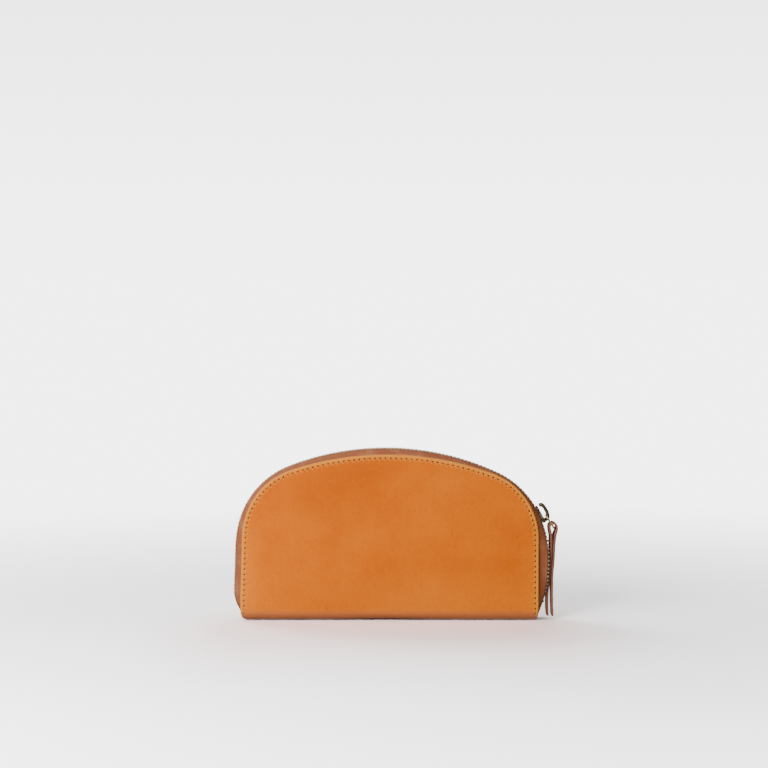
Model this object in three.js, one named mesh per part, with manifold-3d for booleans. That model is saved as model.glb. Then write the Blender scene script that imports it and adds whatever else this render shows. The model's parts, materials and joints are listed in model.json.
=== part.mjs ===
// A half-moon zip-around leather pouch, standing on its folded base.
// Millimetres. +X is to the right, -Y is the front, +Z is up.
// The origin is the middle of the flat underside of the base.

import * as THREE from 'three';
import * as BufferGeometryUtils from 'three/addons/utils/BufferGeometryUtils.js';
import Module from 'manifold-3d';

const wasm = await Module();
wasm.setup();

// ---- Driving dimensions ------------------------------------------------------------------------

// The arch of a leather panel: straight sides, a shoulder arc at each side and one crown arc.
const PANEL = {
  left: -94.7,
  right: 94.7,
  top: 105.7,
  crownX: -2.0,
  crownRadius: 192.2,
  shoulderLeft: 45.7,
  shoulderRight: 45.7,
};

// The arch that the tips of the zip's teeth run along.
const ZIP = {
  left: -99.4,
  right: 100.6,
  top: 109.9,
  crownX: -2.9,
  crownRadius: 169.8,
  shoulderLeft: 54.4,
  shoulderRight: 55.6,
};

const LEATHER = 1.6;
const GAP = 0.3;
const HALF_DEPTH = 12.6;
const DOME = 1.4;
const FOLD_RADIUS = 5.0;
const FOLD_SPLIT = Math.PI / 4;
const BASE_HALF_LENGTH = 91.0;
const PANEL_CORNER = 3.0;
const LINER = 0.5;
const LINING_INSET = 3.0;
const FILLER_INSET = 8.5;
const BASE_STIFFENER = [172, 13, 0.6];

// The zip: each half is a tape with its teeth along the edge.
const ZIP_FOOT = 8.5;
const TAPE = 0.6;
const TAPE_SEAM = 7.0;
const TEETH_HEIGHT = 2.0;
const TEETH_WIDTH = 1.95;
const TEETH_SLOT = 0.65;
const TUCK_HEIGHT = 19.0;
const TUCK_DEPTH = 4.4;
const OPEN_HALF_GAP = 3.2;
const OPEN_TOP = 58.0;
const ARCH_STEPS = [6, 12, 13, 12, 6];

// The slider of the main zip, on the right shoulder.
const SLIDER_ANGLE = THREE.MathUtils.degToRad(24.7);
const SLIDER_TILT = THREE.MathUtils.degToRad(3.9);
const SLIDER_LENGTH = 11.8;
const SLIDER_WIDTH = 8.4;
const SLIDER_PLATE = 1.2;
const SLIDER_THROAT = 3.4;
const BRIDGE_THICKNESS = 1.3;
const BRIDGE_WIDTH = 2.6;
const RING_LENGTH = 8.8;
const RING_WIDTH = 11.6;
const RING_WIRE = 0.6;
const RING_LEAN = THREE.MathUtils.degToRad(32.6);
const STRAP_WIDTH = 9.0;
const STRAP_LEATHER = 1.5;

// The middle coin pocket, with a straight zip of its own along the top.
const COIN_HALF_LENGTH = 66;
const COIN_HALF_DEPTH = 2.8;
const COIN_WALL = 0.6;
const COIN_BOTTOM = 5.0;
const COIN_TOP = 64.0;
const COIN_ZIP_Z = 68.2;
const COIN_CHAIN = [124, 1.2, 1.4];

// ---- Materials ---------------------------------------------------------------------------------

function material(color, roughness, metalness = 0) {
  return new THREE.MeshStandardMaterial({ color, roughness, metalness });
}

const tanLeather = material(0xd47b2c, 0.5);
const pullLeather = material(0x8c5238, 0.55);
const tapeCloth = material(0x8a5438, 0.9);
const liningCloth = material(0xb98a5c, 0.95);
const liningLeather = material(0xb87a44, 0.7);
const board = material(0xc9b79a, 0.95);
const antiqueBrass = material(0x6b5a35, 0.35, 1);
const toothBrass = material(0xa98a55, 0.35, 1);

// ---- Arches ------------------------------------------------------------------------------------

// Moves every edge of an arch inwards by the same distance.
function insetArch(arch, distance) {
  return {
    left: arch.left + distance,
    right: arch.right - distance,
    top: arch.top - distance,
    crownX: arch.crownX,
    crownRadius: arch.crownRadius - distance,
    shoulderLeft: arch.shoulderLeft - distance,
    shoulderRight: arch.shoulderRight - distance,
  };
}

// The centres of the three arcs, worked out so that each shoulder meets the crown smoothly.
function archCentres(arch) {
  const crown = new THREE.Vector2(arch.crownX, arch.top - arch.crownRadius);
  const rightX = arch.right - arch.shoulderRight;
  const leftX = arch.left + arch.shoulderLeft;
  const rightReach = arch.crownRadius - arch.shoulderRight;
  const leftReach = arch.crownRadius - arch.shoulderLeft;
  const right = new THREE.Vector2(rightX, crown.y + Math.sqrt(rightReach ** 2 - (rightX - crown.x) ** 2));
  const left = new THREE.Vector2(leftX, crown.y + Math.sqrt(leftReach ** 2 - (leftX - crown.x) ** 2));
  return { crown, right, left };
}

function arcPoint(centre, radius, angle) {
  const normal = new THREE.Vector2(Math.cos(angle), Math.sin(angle));
  return { point: centre.clone().addScaledVector(normal, radius), normal };
}

// A point of an arch. The station runs from 0 at the right foot, through 1 to 4 at the ends of the
// arcs, to 5 at the left foot. The normal points outwards.
function archPoint(arch, foot, station) {
  const { crown, right, left } = archCentres(arch);
  const rightEnd = Math.atan2(right.y - crown.y, right.x - crown.x);
  const leftEnd = Math.atan2(left.y - crown.y, left.x - crown.x);
  const piece = Math.min(Math.floor(station), 4);
  const along = station - piece;
  if (piece === 0) {
    const point = new THREE.Vector2(arch.right, foot + (right.y - foot) * along);
    return { point, normal: new THREE.Vector2(1, 0) };
  }
  if (piece === 1) {
    return arcPoint(right, arch.shoulderRight, rightEnd * along);
  }
  if (piece === 2) {
    return arcPoint(crown, arch.crownRadius, rightEnd + (leftEnd - rightEnd) * along);
  }
  if (piece === 3) {
    return arcPoint(left, arch.shoulderLeft, leftEnd + (Math.PI - leftEnd) * along);
  }
  const point = new THREE.Vector2(arch.left, left.y + (foot - left.y) * along);
  return { point, normal: new THREE.Vector2(-1, 0) };
}

// The stations of a sweep round an arch, with a set number of steps in each of its five pieces.
function archStations(first = 0, last = 5) {
  const stations = [];
  ARCH_STEPS.forEach((steps, piece) => {
    for (let step = 0; step < steps; step += 1) {
      stations.push(piece + step / steps);
    }
  });
  stations.push(5);
  const inside = stations.filter((station) => station > first + 0.02 && station < last - 0.02);
  return [first, ...inside, last];
}

// The closed outline of a half-moon sheet: an arch with a straight lower edge and round corners.
function moonShape(arch, foot, corner) {
  const { crown, right, left } = archCentres(arch);
  const rightEnd = Math.atan2(right.y - crown.y, right.x - crown.x);
  const leftEnd = Math.atan2(left.y - crown.y, left.x - crown.x);
  const shape = new THREE.Shape();
  shape.moveTo(arch.left + corner, foot);
  shape.lineTo(arch.right - corner, foot);
  shape.absarc(arch.right - corner, foot + corner, corner, -Math.PI / 2, 0, false);
  shape.absarc(right.x, right.y, arch.shoulderRight, 0, rightEnd, false);
  shape.absarc(crown.x, crown.y, arch.crownRadius, rightEnd, leftEnd, false);
  shape.absarc(left.x, left.y, arch.shoulderLeft, leftEnd, Math.PI, false);
  shape.absarc(arch.left + corner, foot + corner, corner, Math.PI, Math.PI * 1.5, false);
  return shape;
}

// ---- Geometry helpers --------------------------------------------------------------------------

// The points round a closed shape, each one only once.
function closedOutline(shape, divisions) {
  const points = shape.getPoints(divisions);
  const near = (a, b) => a.distanceTo(b) < 1e-3;
  return points.filter((point, index) => !near(point, points[(index + 1) % points.length]));
}

function signedVolume(vertices, triangles) {
  let volume = 0;
  for (const [a, b, c] of triangles) {
    volume += vertices[a].dot(new THREE.Vector3().crossVectors(vertices[b], vertices[c])) / 6;
  }
  return volume;
}

// A BufferGeometry of one closed body, with its faces turned outwards.
function closedBody(vertices, triangles) {
  const outward = signedVolume(vertices, triangles) > 0;
  const geometry = new THREE.BufferGeometry();
  geometry.setAttribute('position', new THREE.Float32BufferAttribute(vertices.flatMap((v) => v.toArray()), 3));
  geometry.setIndex(triangles.flatMap(([a, b, c]) => (outward ? [a, b, c] : [a, c, b])));
  geometry.computeVertexNormals();
  return geometry;
}

// Joins rings of points, all of one length, into a tube, and closes its two ends.
function sweptBody(rings, capPoints) {
  const count = rings[0].length;
  const vertices = rings.flat();
  const triangles = [];
  for (let ring = 0; ring + 1 < rings.length; ring += 1) {
    for (let side = 0; side < count; side += 1) {
      const a = ring * count + side;
      const b = ring * count + ((side + 1) % count);
      triangles.push([a, b, b + count], [a, b + count, a + count]);
    }
  }
  const end = (rings.length - 1) * count;
  for (const [a, b, c] of THREE.ShapeUtils.triangulateShape(capPoints, [])) {
    triangles.push([a, c, b], [end + a, end + b, end + c]);
  }
  return closedBody(vertices, triangles);
}

// A tube of round section along a closed path in the YZ plane.
function closedTube(path, radius, sides) {
  const vertices = [];
  const triangles = [];
  path.forEach((point, index) => {
    const before = path[(index + path.length - 1) % path.length];
    const after = path[(index + 1) % path.length];
    const tangent = after.clone().sub(before).normalize();
    const across = new THREE.Vector3(0, tangent.z, -tangent.y);
    for (let side = 0; side < sides; side += 1) {
      const angle = (2 * Math.PI * side) / sides;
      const vertex = point.clone().addScaledVector(across, radius * Math.cos(angle));
      vertices.push(vertex.add(new THREE.Vector3(radius * Math.sin(angle), 0, 0)));
      const next = (index + 1) % path.length;
      const a = index * sides + side;
      const b = index * sides + ((side + 1) % sides);
      const c = next * sides + side;
      const d = next * sides + ((side + 1) % sides);
      triangles.push([a, b, d], [a, d, c]);
    }
  });
  return closedBody(vertices, triangles);
}

// A flat sheet: a shape in the XZ plane, filling y to y + thickness.
function sheetXZ(shape, y, thickness, curveSegments = 12) {
  const geometry = new THREE.ExtrudeGeometry(shape, { depth: thickness, bevelEnabled: false, curveSegments });
  const basis = new THREE.Matrix4().makeBasis(
    new THREE.Vector3(1, 0, 0),
    new THREE.Vector3(0, 0, 1),
    new THREE.Vector3(0, -1, 0),
  );
  return geometry.applyMatrix4(basis).translate(0, y + thickness, 0);
}

// A bar: a shape in the YZ plane, filling x to x + length.
function barYZ(shape, x, length, curveSegments = 12) {
  const geometry = new THREE.ExtrudeGeometry(shape, { depth: length, bevelEnabled: false, curveSegments });
  const basis = new THREE.Matrix4().makeBasis(
    new THREE.Vector3(0, 1, 0),
    new THREE.Vector3(0, 0, 1),
    new THREE.Vector3(1, 0, 0),
  );
  return geometry.applyMatrix4(basis).translate(x, 0, 0);
}

// The outline of a strip of even thickness that follows a plane curve.
function ribbonShape(curve, thickness, divisions) {
  const outer = [];
  const inner = [];
  for (let step = 0; step <= divisions; step += 1) {
    const point = curve.getPointAt(step / divisions);
    const tangent = curve.getTangentAt(step / divisions);
    const normal = new THREE.Vector2(-tangent.y, tangent.x);
    outer.push(point.clone().addScaledVector(normal, thickness / 2));
    inner.push(point.clone().addScaledVector(normal, -thickness / 2));
  }
  return new THREE.Shape([...outer, ...inner.reverse()]);
}

function toSolid(geometry) {
  const plain = geometry.clone();
  plain.deleteAttribute('normal');
  plain.deleteAttribute('uv');
  const merged = BufferGeometryUtils.mergeVertices(plain, 1e-4);
  const vertProperties = new Float32Array(merged.attributes.position.array);
  const triVerts = new Uint32Array(merged.index.array);
  return new wasm.Manifold(new wasm.Mesh({ numProp: 3, vertProperties, triVerts }));
}

function fromSolid(solid) {
  const mesh = solid.getMesh();
  const geometry = new THREE.BufferGeometry();
  geometry.setAttribute('position', new THREE.BufferAttribute(mesh.vertProperties, 3));
  geometry.setIndex(new THREE.BufferAttribute(mesh.triVerts, 1));
  geometry.computeVertexNormals();
  return geometry;
}

function join(...geometries) {
  return fromSolid(geometries.map(toSolid).reduce((whole, piece) => whole.add(piece)));
}

function roundedRectangle(width, height, corner) {
  const halfWidth = width / 2;
  const halfHeight = height / 2;
  const shape = new THREE.Shape();
  shape.moveTo(-halfWidth + corner, -halfHeight);
  shape.absarc(halfWidth - corner, -halfHeight + corner, corner, -Math.PI / 2, 0, false);
  shape.absarc(halfWidth - corner, halfHeight - corner, corner, 0, Math.PI / 2, false);
  shape.absarc(-halfWidth + corner, halfHeight - corner, corner, Math.PI / 2, Math.PI, false);
  shape.absarc(-halfWidth + corner, -halfHeight + corner, corner, Math.PI, Math.PI * 1.5, false);
  return shape;
}

// ---- Leather cover -----------------------------------------------------------------------------

// A half-moon plate whose outer face is crowned. The side is -1 for the front and +1 for the back.
// The inner face lies at innerY, and the crown is added to both faces, or to the outer face only.
function crownedPlate(arch, foot, corner, side, innerY, thickness, crown, flatInside) {
  const outline = closedOutline(moonShape(arch, foot, corner), 7);
  const centre = new THREE.Vector2(arch.crownX, (arch.top + foot) * 0.46);
  const ringFractions = [1, 0.8, 0.5, 0.2];
  const vertices = [];
  const triangles = [];
  const count = outline.length;
  for (const face of [0, 1]) {
    for (const fraction of ringFractions) {
      const rise = crown * (1 - fraction ** 2);
      const depth = innerY + face * thickness + (face === 1 || !flatInside ? rise : 0);
      for (const point of outline) {
        const place = centre.clone().lerp(point, fraction);
        vertices.push(new THREE.Vector3(place.x, side * depth, place.y));
      }
    }
  }
  const faceSize = ringFractions.length * count;
  for (const face of [0, 1]) {
    const middle = vertices.length;
    const depth = innerY + face * thickness + (face === 1 || !flatInside ? crown : 0);
    vertices.push(new THREE.Vector3(centre.x, side * depth, centre.y));
    for (let index = 0; index < count; index += 1) {
      const next = (index + 1) % count;
      for (let ring = 0; ring + 1 < ringFractions.length; ring += 1) {
        const a = face * faceSize + ring * count + index;
        const b = face * faceSize + ring * count + next;
        const quad = [[a, b, b + count], [a, b + count, a + count]];
        triangles.push(...quad.map(([p, q, r]) => (face === 1 ? [p, q, r] : [p, r, q])));
      }
      const last = face * faceSize + (ringFractions.length - 1) * count;
      triangles.push(face === 1 ? [last + index, last + next, middle] : [last + index, middle, last + next]);
    }
  }
  for (let index = 0; index < count; index += 1) {
    const next = (index + 1) % count;
    triangles.push([index, next, faceSize + next], [index, faceSize + next, faceSize + index]);
  }
  return closedBody(vertices, triangles);
}

// The section of the fold at the foot of a panel: a short upright flange and a bent corner.
// The back's section goes on along the flat base and ends part way round the front corner.
function foldSection(side) {
  const flat = HALF_DEPTH - FOLD_RADIUS;
  const innerRadius = FOLD_RADIUS - LEATHER;
  const flangeTop = FOLD_RADIUS + 1.5;
  const splitGap = GAP / 2 / FOLD_RADIUS;
  const shape = new THREE.Shape();
  if (side < 0) {
    shape.moveTo(-HALF_DEPTH, flangeTop);
    shape.absarc(-flat, FOLD_RADIUS, FOLD_RADIUS, Math.PI, Math.PI + FOLD_SPLIT - splitGap, false);
    shape.absarc(-flat, FOLD_RADIUS, innerRadius, Math.PI + FOLD_SPLIT - splitGap, Math.PI, true);
    shape.lineTo(-HALF_DEPTH + LEATHER, flangeTop);
    return shape;
  }
  shape.moveTo(HALF_DEPTH - LEATHER, flangeTop);
  shape.absarc(flat, FOLD_RADIUS, innerRadius, 0, -Math.PI / 2, true);
  shape.absarc(-flat, FOLD_RADIUS, innerRadius, Math.PI * 1.5, Math.PI + FOLD_SPLIT + splitGap * 2, true);
  shape.absarc(-flat, FOLD_RADIUS, FOLD_RADIUS, Math.PI + FOLD_SPLIT + splitGap, Math.PI * 1.5, false);
  shape.absarc(flat, FOLD_RADIUS, FOLD_RADIUS, -Math.PI / 2, 0, false);
  shape.lineTo(HALF_DEPTH, flangeTop);
  return shape;
}

function cover(side) {
  const plate = crownedPlate(
    PANEL, FOLD_RADIUS, PANEL_CORNER, side, HALF_DEPTH - LEATHER, LEATHER, DOME, false,
  );
  const fold = barYZ(foldSection(side), -BASE_HALF_LENGTH, 2 * BASE_HALF_LENGTH, 6);
  return join(plate, fold);
}

// A felt filler that gives the panel its crown, flat against the lining.
function filler(side) {
  const innerY = HALF_DEPTH - LEATHER - GAP - LINER;
  return crownedPlate(
    insetArch(PANEL, FILLER_INSET), 8, 4, side, innerY, LINER, DOME * 0.85, true,
  );
}

function lining(side) {
  const innerY = HALF_DEPTH - LEATHER - GAP - LINER - GAP - LINER;
  const y = side > 0 ? innerY : -innerY - LINER;
  return sheetXZ(moonShape(insetArch(PANEL, LINING_INSET), 5.5, 4), y, LINER, 10);
}

// ---- Main zip ----------------------------------------------------------------------------------

// How far the foot of the zip tucks in between the panels, at a height.
function tuck(z) {
  const share = Math.max(0, (TUCK_HEIGHT - z) / (TUCK_HEIGHT - ZIP_FOOT));
  return TUCK_DEPTH * share ** 1.4;
}

// Half the gap between the two rows of teeth, which stand apart below the slider.
function partedBy(point) {
  if (point.x < 0 || point.y > OPEN_TOP) {
    return 0;
  }
  const share = (OPEN_TOP - point.y) / (OPEN_TOP - ZIP_FOOT);
  return OPEN_HALF_GAP * Math.sin(Math.PI * share) ** 1.2;
}

// The place of one station of the zip: the leather's edge, the teeth's middle line and the gap.
function zipStation(station) {
  const edge = archPoint(PANEL, ZIP_FOOT, station);
  const teeth = archPoint(insetArch(ZIP, TEETH_HEIGHT / 2 + 0.2), ZIP_FOOT, station);
  teeth.point.addScaledVector(teeth.normal, -tuck(teeth.point.y));
  edge.point.addScaledVector(edge.normal, -tuck(edge.point.y) * 0.4);
  return { edge, teeth, parted: partedBy(teeth.point) };
}

// The middle line of a tape's section, from the row of teeth to the seam under the leather.
function tapeLine({ edge, teeth, parted }, side) {
  const place = (share, outwards, y) => {
    const flat = edge.point.clone().lerp(teeth.point, share);
    flat.addScaledVector(teeth.normal.clone().lerp(edge.normal, 1 - share), outwards);
    return new THREE.Vector3(flat.x, side * y, flat.y);
  };
  const start = TEETH_SLOT + TEETH_WIDTH + GAP;
  const seamY = HALF_DEPTH - LEATHER - GAP - TAPE / 2;
  return [
    place(1, 0, start + parted),
    place(1, 0.1, start + 1.7 + parted * 0.8),
    place(0.72, 0.2, start + 4.0 + parted * 0.35),
    place(0.12, 0.1, seamY - 0.8),
    place(0, -1.4, seamY),
    place(0, -TAPE_SEAM, seamY),
  ];
}

// Gives a line of points in space an even thickness, within the plane across the sweep.
function thicken(line, outward, side, thickness) {
  const near = [];
  const far = [];
  line.forEach((point, index) => {
    const before = line[Math.max(index - 1, 0)];
    const after = line[Math.min(index + 1, line.length - 1)];
    const run = after.clone().sub(before);
    const radial = run.x * outward.x + run.z * outward.y;
    const across = run.y * side;
    const length = Math.hypot(radial, across);
    const shift = (thickness / 2 / length);
    const lift = new THREE.Vector3(outward.x * across, -side * radial, outward.y * across);
    near.push(point.clone().addScaledVector(lift, shift));
    far.push(point.clone().addScaledVector(lift, -shift));
  });
  return [...near, ...far.reverse()];
}

function stripCap(count) {
  const points = [];
  for (let index = 0; index < count; index += 1) {
    points.push(new THREE.Vector2(index, 0));
  }
  for (let index = count - 1; index >= 0; index -= 1) {
    points.push(new THREE.Vector2(index, 1));
  }
  return points;
}

function zipTape(side) {
  const rings = archStations().map((station) => {
    const place = zipStation(station);
    return thicken(tapeLine(place, side), place.teeth.normal, side, TAPE);
  });
  return sweptBody(rings, stripCap(6));
}

// One row of teeth on its cord, as an even bead between two stations.
function zipChain(side, first, last) {
  const rings = archStations(first, last).map((station) => {
    const { teeth, parted } = zipStation(station);
    const corners = [[-1, 0], [1, 0], [1, 1], [-1, 1]];
    return corners.map(([out, across]) => {
      const flat = teeth.point.clone().addScaledVector(teeth.normal, (out * TEETH_HEIGHT) / 2);
      const y = TEETH_SLOT + parted + across * TEETH_WIDTH;
      return new THREE.Vector3(flat.x, side * y, flat.y);
    });
  });
  return sweptBody(rings, [[0, 0], [1, 0], [1, 1], [0, 1]].map(([x, y]) => new THREE.Vector2(x, y)));
}

const CHAIN_FIRST = 0.16;
const CHAIN_LAST = 4.84;
const STOP_SIZE = [2.6, 2.2, 2.6];

// A stop closed round the end of the teeth.
function zipStop(width) {
  return sheetXZ(roundedRectangle(STOP_SIZE[0], STOP_SIZE[2], 0.6), -width / 2, width, 3);
}

function stopPlace(station, side, width) {
  const { teeth, parted } = zipStation(station);
  const y = side === 0 ? 0 : side * (TEETH_SLOT + parted + width / 2);
  return new THREE.Vector3(teeth.point.x, y, teeth.point.y);
}

// ---- Slider, ring and strap --------------------------------------------------------------------

// A slider's plate in its own frame: +X away from the teeth, Z along the zip, with the wide nose at -Z.
function sliderPlate(length, width, x, thickness) {
  const nose = width / 2;
  const tail = width * 0.38;
  const end = length / 2;
  const shape = new THREE.Shape();
  shape.moveTo(-nose * 0.6, -end);
  shape.lineTo(nose * 0.6, -end);
  shape.quadraticCurveTo(nose, -end, nose, -end * 0.62);
  shape.bezierCurveTo(nose, -end * 0.1, tail, end * 0.1, tail, end * 0.7);
  shape.quadraticCurveTo(tail, end, tail * 0.6, end);
  shape.lineTo(-tail * 0.6, end);
  shape.quadraticCurveTo(-tail, end, -tail, end * 0.7);
  shape.bezierCurveTo(-tail, end * 0.1, -nose, -end * 0.1, -nose, -end * 0.62);
  shape.quadraticCurveTo(-nose, -end, -nose * 0.6, -end);
  return barYZ(shape, x, thickness, 4);
}

// The open hook over the plate that carries the ring, fixed at the nose and free at the tail.
function sliderBridge() {
  const line = new THREE.SplineCurve([
    new THREE.Vector2(0.2, -4.9),
    new THREE.Vector2(2.2, -4.75),
    new THREE.Vector2(4.1, -3.4),
    new THREE.Vector2(5.1, -0.8),
    new THREE.Vector2(5.3, 1.8),
    new THREE.Vector2(4.6, 4.1),
    new THREE.Vector2(3.2, 5.0),
    new THREE.Vector2(1.9, 5.1),
  ]);
  return sheetXZ(ribbonShape(line, BRIDGE_THICKNESS, 16), -BRIDGE_WIDTH / 2, BRIDGE_WIDTH);
}

function sliderBody() {
  const plateX = -SLIDER_PLATE / 2;
  const innerX = plateX - SLIDER_THROAT - 1.0;
  const outer = sliderPlate(SLIDER_LENGTH, SLIDER_WIDTH, plateX, SLIDER_PLATE);
  const inner = sliderPlate(SLIDER_LENGTH * 0.78, SLIDER_WIDTH * 0.88, innerX, 1.0);
  const post = new THREE.BoxGeometry(SLIDER_THROAT + 1.2, 0.7, 2.6);
  post.translate(plateX - SLIDER_THROAT / 2, 0, -2.6);
  return join(outer, inner, post, sliderBridge());
}

// The wire ring, a rounded rectangle hanging from its upper bar at the origin.
function pullRing() {
  const corner = 2.0;
  const outline = closedOutline(roundedRectangle(RING_WIDTH - 2 * RING_WIRE, RING_LENGTH, corner), 4);
  const path = outline.map((point) => new THREE.Vector3(0, point.x, point.y - RING_LENGTH / 2));
  return closedTube(path, RING_WIRE, 8);
}

// The leather strap, folded over the ring's lower bar at the origin, with two hanging tails.
function pullStrap() {
  const line = new THREE.SplineCurve([
    new THREE.Vector2(-3.0, -54.9),
    new THREE.Vector2(-3.0, -42.0),
    new THREE.Vector2(-2.4, -31.0),
    new THREE.Vector2(-1.3, -18.0),
    new THREE.Vector2(-0.95, -10.2),
    new THREE.Vector2(-1.6, -3.8),
    new THREE.Vector2(-1.85, 0.2),
    new THREE.Vector2(-1.0, 2.6),
    new THREE.Vector2(0.4, 3.2),
    new THREE.Vector2(1.8, 1.6),
    new THREE.Vector2(2.05, -1.3),
    new THREE.Vector2(1.5, -5.4),
    new THREE.Vector2(0.95, -10.5),
    new THREE.Vector2(0.6, -18.0),
    new THREE.Vector2(-0.1, -28.0),
    new THREE.Vector2(-0.4, -42.0),
    new THREE.Vector2(0.0, -54.9),
  ]);
  return sheetXZ(ribbonShape(line, STRAP_LEATHER, 72), -STRAP_WIDTH / 2, STRAP_WIDTH);
}

// ---- Inside ------------------------------------------------------------------------------------

// One tier of card slots: a sheet with a shallow dip in its upper edge.
function cardTier(top, y) {
  const halfWidth = 46.5;
  const foot = 9;
  const shape = new THREE.Shape();
  shape.moveTo(-halfWidth, foot);
  shape.lineTo(halfWidth, foot);
  shape.lineTo(halfWidth, top);
  shape.quadraticCurveTo(0, top - 5, -halfWidth, top);
  return sheetXZ(shape, y, LINER, 8);
}

function slipPocket(y) {
  const halfWidth = 78;
  const foot = 9;
  const top = 58;
  const shape = new THREE.Shape();
  shape.moveTo(-halfWidth, foot);
  shape.lineTo(halfWidth, foot);
  shape.lineTo(halfWidth, top);
  shape.bezierCurveTo(30, top - 8, -30, top - 8, -halfWidth, top);
  return sheetXZ(shape, y, LINER, 10);
}

// The coin pocket's bag: one sheet folded up from the bottom, sewn at its ends, open at the top.
function coinBag() {
  const height = COIN_TOP - COIN_BOTTOM;
  const outer = new THREE.BoxGeometry(2 * COIN_HALF_LENGTH, 2 * COIN_HALF_DEPTH, height);
  outer.translate(0, 0, COIN_BOTTOM + height / 2);
  const hollow = new THREE.BoxGeometry(
    2 * (COIN_HALF_LENGTH - COIN_WALL), 2 * (COIN_HALF_DEPTH - COIN_WALL), height,
  );
  hollow.translate(0, 0, COIN_BOTTOM + COIN_WALL + height / 2);
  return fromSolid(toSolid(outer).subtract(toSolid(hollow)));
}

// A tape of the coin zip, from the bag's wall up to its row of teeth.
function coinTape(side) {
  const line = new THREE.SplineCurve([
    new THREE.Vector2(side * (COIN_HALF_DEPTH - 0.3), COIN_TOP + 0.3),
    new THREE.Vector2(side * (COIN_HALF_DEPTH - 0.1), COIN_TOP + 2.2),
    new THREE.Vector2(side * 2.2, COIN_ZIP_Z),
  ]);
  return barYZ(ribbonShape(line, 0.4, 6), -COIN_HALF_LENGTH + 1, 2 * COIN_HALF_LENGTH - 2);
}

function coinChain() {
  return new THREE.BoxGeometry(...COIN_CHAIN);
}

function coinSlider() {
  const plate = new THREE.ExtrudeGeometry(roundedRectangle(9, 5.2, 1.6), {
    depth: 0.9, bevelEnabled: false, curveSegments: 3,
  });
  plate.translate(0, 0, 1.1);
  const bridge = sheetXZ(
    ribbonShape(new THREE.SplineCurve([
      new THREE.Vector2(-3.4, 1.6),
      new THREE.Vector2(-3.0, 3.6),
      new THREE.Vector2(0, 4.6),
      new THREE.Vector2(3.0, 3.6),
      new THREE.Vector2(3.4, 1.6),
    ]), 0.9, 10), -0.8, 1.6,
  );
  return join(plate, bridge);
}

// The coin zip's pull: a flat tab whose long eye goes round the slider's bridge. It turns about the
// bar at the end of the eye, which is at the origin.
function coinPull() {
  const shape = new THREE.Shape();
  shape.moveTo(0.4, -2.3);
  shape.lineTo(0.4, 2.3);
  shape.lineTo(-12.6, 1.7);
  shape.absarc(-12.6, 0, 1.7, Math.PI / 2, Math.PI * 1.5, false);
  const outline = new THREE.Shape(closedOutline(shape, 5));
  const tab = new THREE.ExtrudeGeometry(outline, { depth: 0.8, bevelEnabled: false });
  const eye = new THREE.BoxGeometry(4.4, 2.6, 3);
  eye.translate(-2.6, 0, 0);
  return fromSolid(toSolid(tab.translate(0, 0, -0.4)).subtract(toSolid(eye)));
}

// A side gusset: a sheet folded inwards between the two linings.
function gusset(side) {
  const tip = side * 70;
  const ends = side * 85;
  const reach = 8.6;
  const half = LINER / 2;
  const shape = new THREE.Shape([
    new THREE.Vector2(ends, -reach - half),
    new THREE.Vector2(tip - side * 0.6, 0),
    new THREE.Vector2(ends, reach + half),
    new THREE.Vector2(ends, reach - half),
    new THREE.Vector2(tip + side * 0.6, 0),
    new THREE.Vector2(ends, -reach + half),
  ]);
  const geometry = new THREE.ExtrudeGeometry(shape, { depth: 46, bevelEnabled: false });
  return geometry.translate(0, 0, 7);
}

// ---- Assembly ----------------------------------------------------------------------------------

const pouch = new THREE.Group();

function add(name, geometry, finish, parent = pouch) {
  const mesh = new THREE.Mesh(geometry, finish);
  mesh.name = name;
  parent.add(mesh);
  return mesh;
}

const sides = { front: -1, back: 1 };
for (const [half, side] of Object.entries(sides)) {
  add(`cover_${half}`, cover(side), tanLeather);
  add(`filler_${half}`, filler(side), board);
  add(`lining_${half}`, lining(side), liningCloth);
  add(`zip_tape_${half}`, zipTape(side), tapeCloth);
  add(`zip_chain_${half}`, zipChain(side, CHAIN_FIRST, CHAIN_LAST), toothBrass);
  const topStop = add(`zip_top_stop_${half}`, zipStop(TEETH_WIDTH), antiqueBrass);
  topStop.position.copy(stopPlace(CHAIN_FIRST - 0.07, side, TEETH_WIDTH));
}

const bottomStopWidth = 2 * (TEETH_SLOT + TEETH_WIDTH);
const bottomStop = add('zip_bottom_stop', zipStop(bottomStopWidth), antiqueBrass);
bottomStop.position.copy(stopPlace(CHAIN_LAST + 0.07, 0, bottomStopWidth));

const baseStiffener = add('base_stiffener', new THREE.BoxGeometry(...BASE_STIFFENER), board);
baseStiffener.position.z = LEATHER + GAP + BASE_STIFFENER[2] / 2;

// The slider stands over the teeth, square to the right shoulder's arc apart from a slight tilt.
const shoulder = archCentres(ZIP).right;
const sliderRadius = ZIP.shoulderRight + GAP + SLIDER_PLATE / 2;
const sliderPlace = arcPoint(shoulder, sliderRadius, SLIDER_ANGLE).point;
const sliderGroup = new THREE.Group();
sliderGroup.position.set(sliderPlace.x, 0, sliderPlace.y);
sliderGroup.rotation.y = -(SLIDER_ANGLE + SLIDER_TILT);
pouch.add(sliderGroup);
add('slider_body', sliderBody(), antiqueBrass, sliderGroup);

// The ring hangs inside the slider's hook and leans away from the zip, and the strap hangs from it.
sliderGroup.updateMatrixWorld(true);
const ringPlace = new THREE.Vector3(1.95, 0, -2.9).applyMatrix4(sliderGroup.matrix);
const ring = add('pull_ring', pullRing(), antiqueBrass);
ring.position.copy(ringPlace);
ring.rotation.y = -RING_LEAN;
const strap = add('pull_strap', pullStrap(), pullLeather);
strap.position.set(
  ringPlace.x + RING_LENGTH * Math.sin(RING_LEAN), 0, ringPlace.z - RING_LENGTH * Math.cos(RING_LEAN),
);

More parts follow.
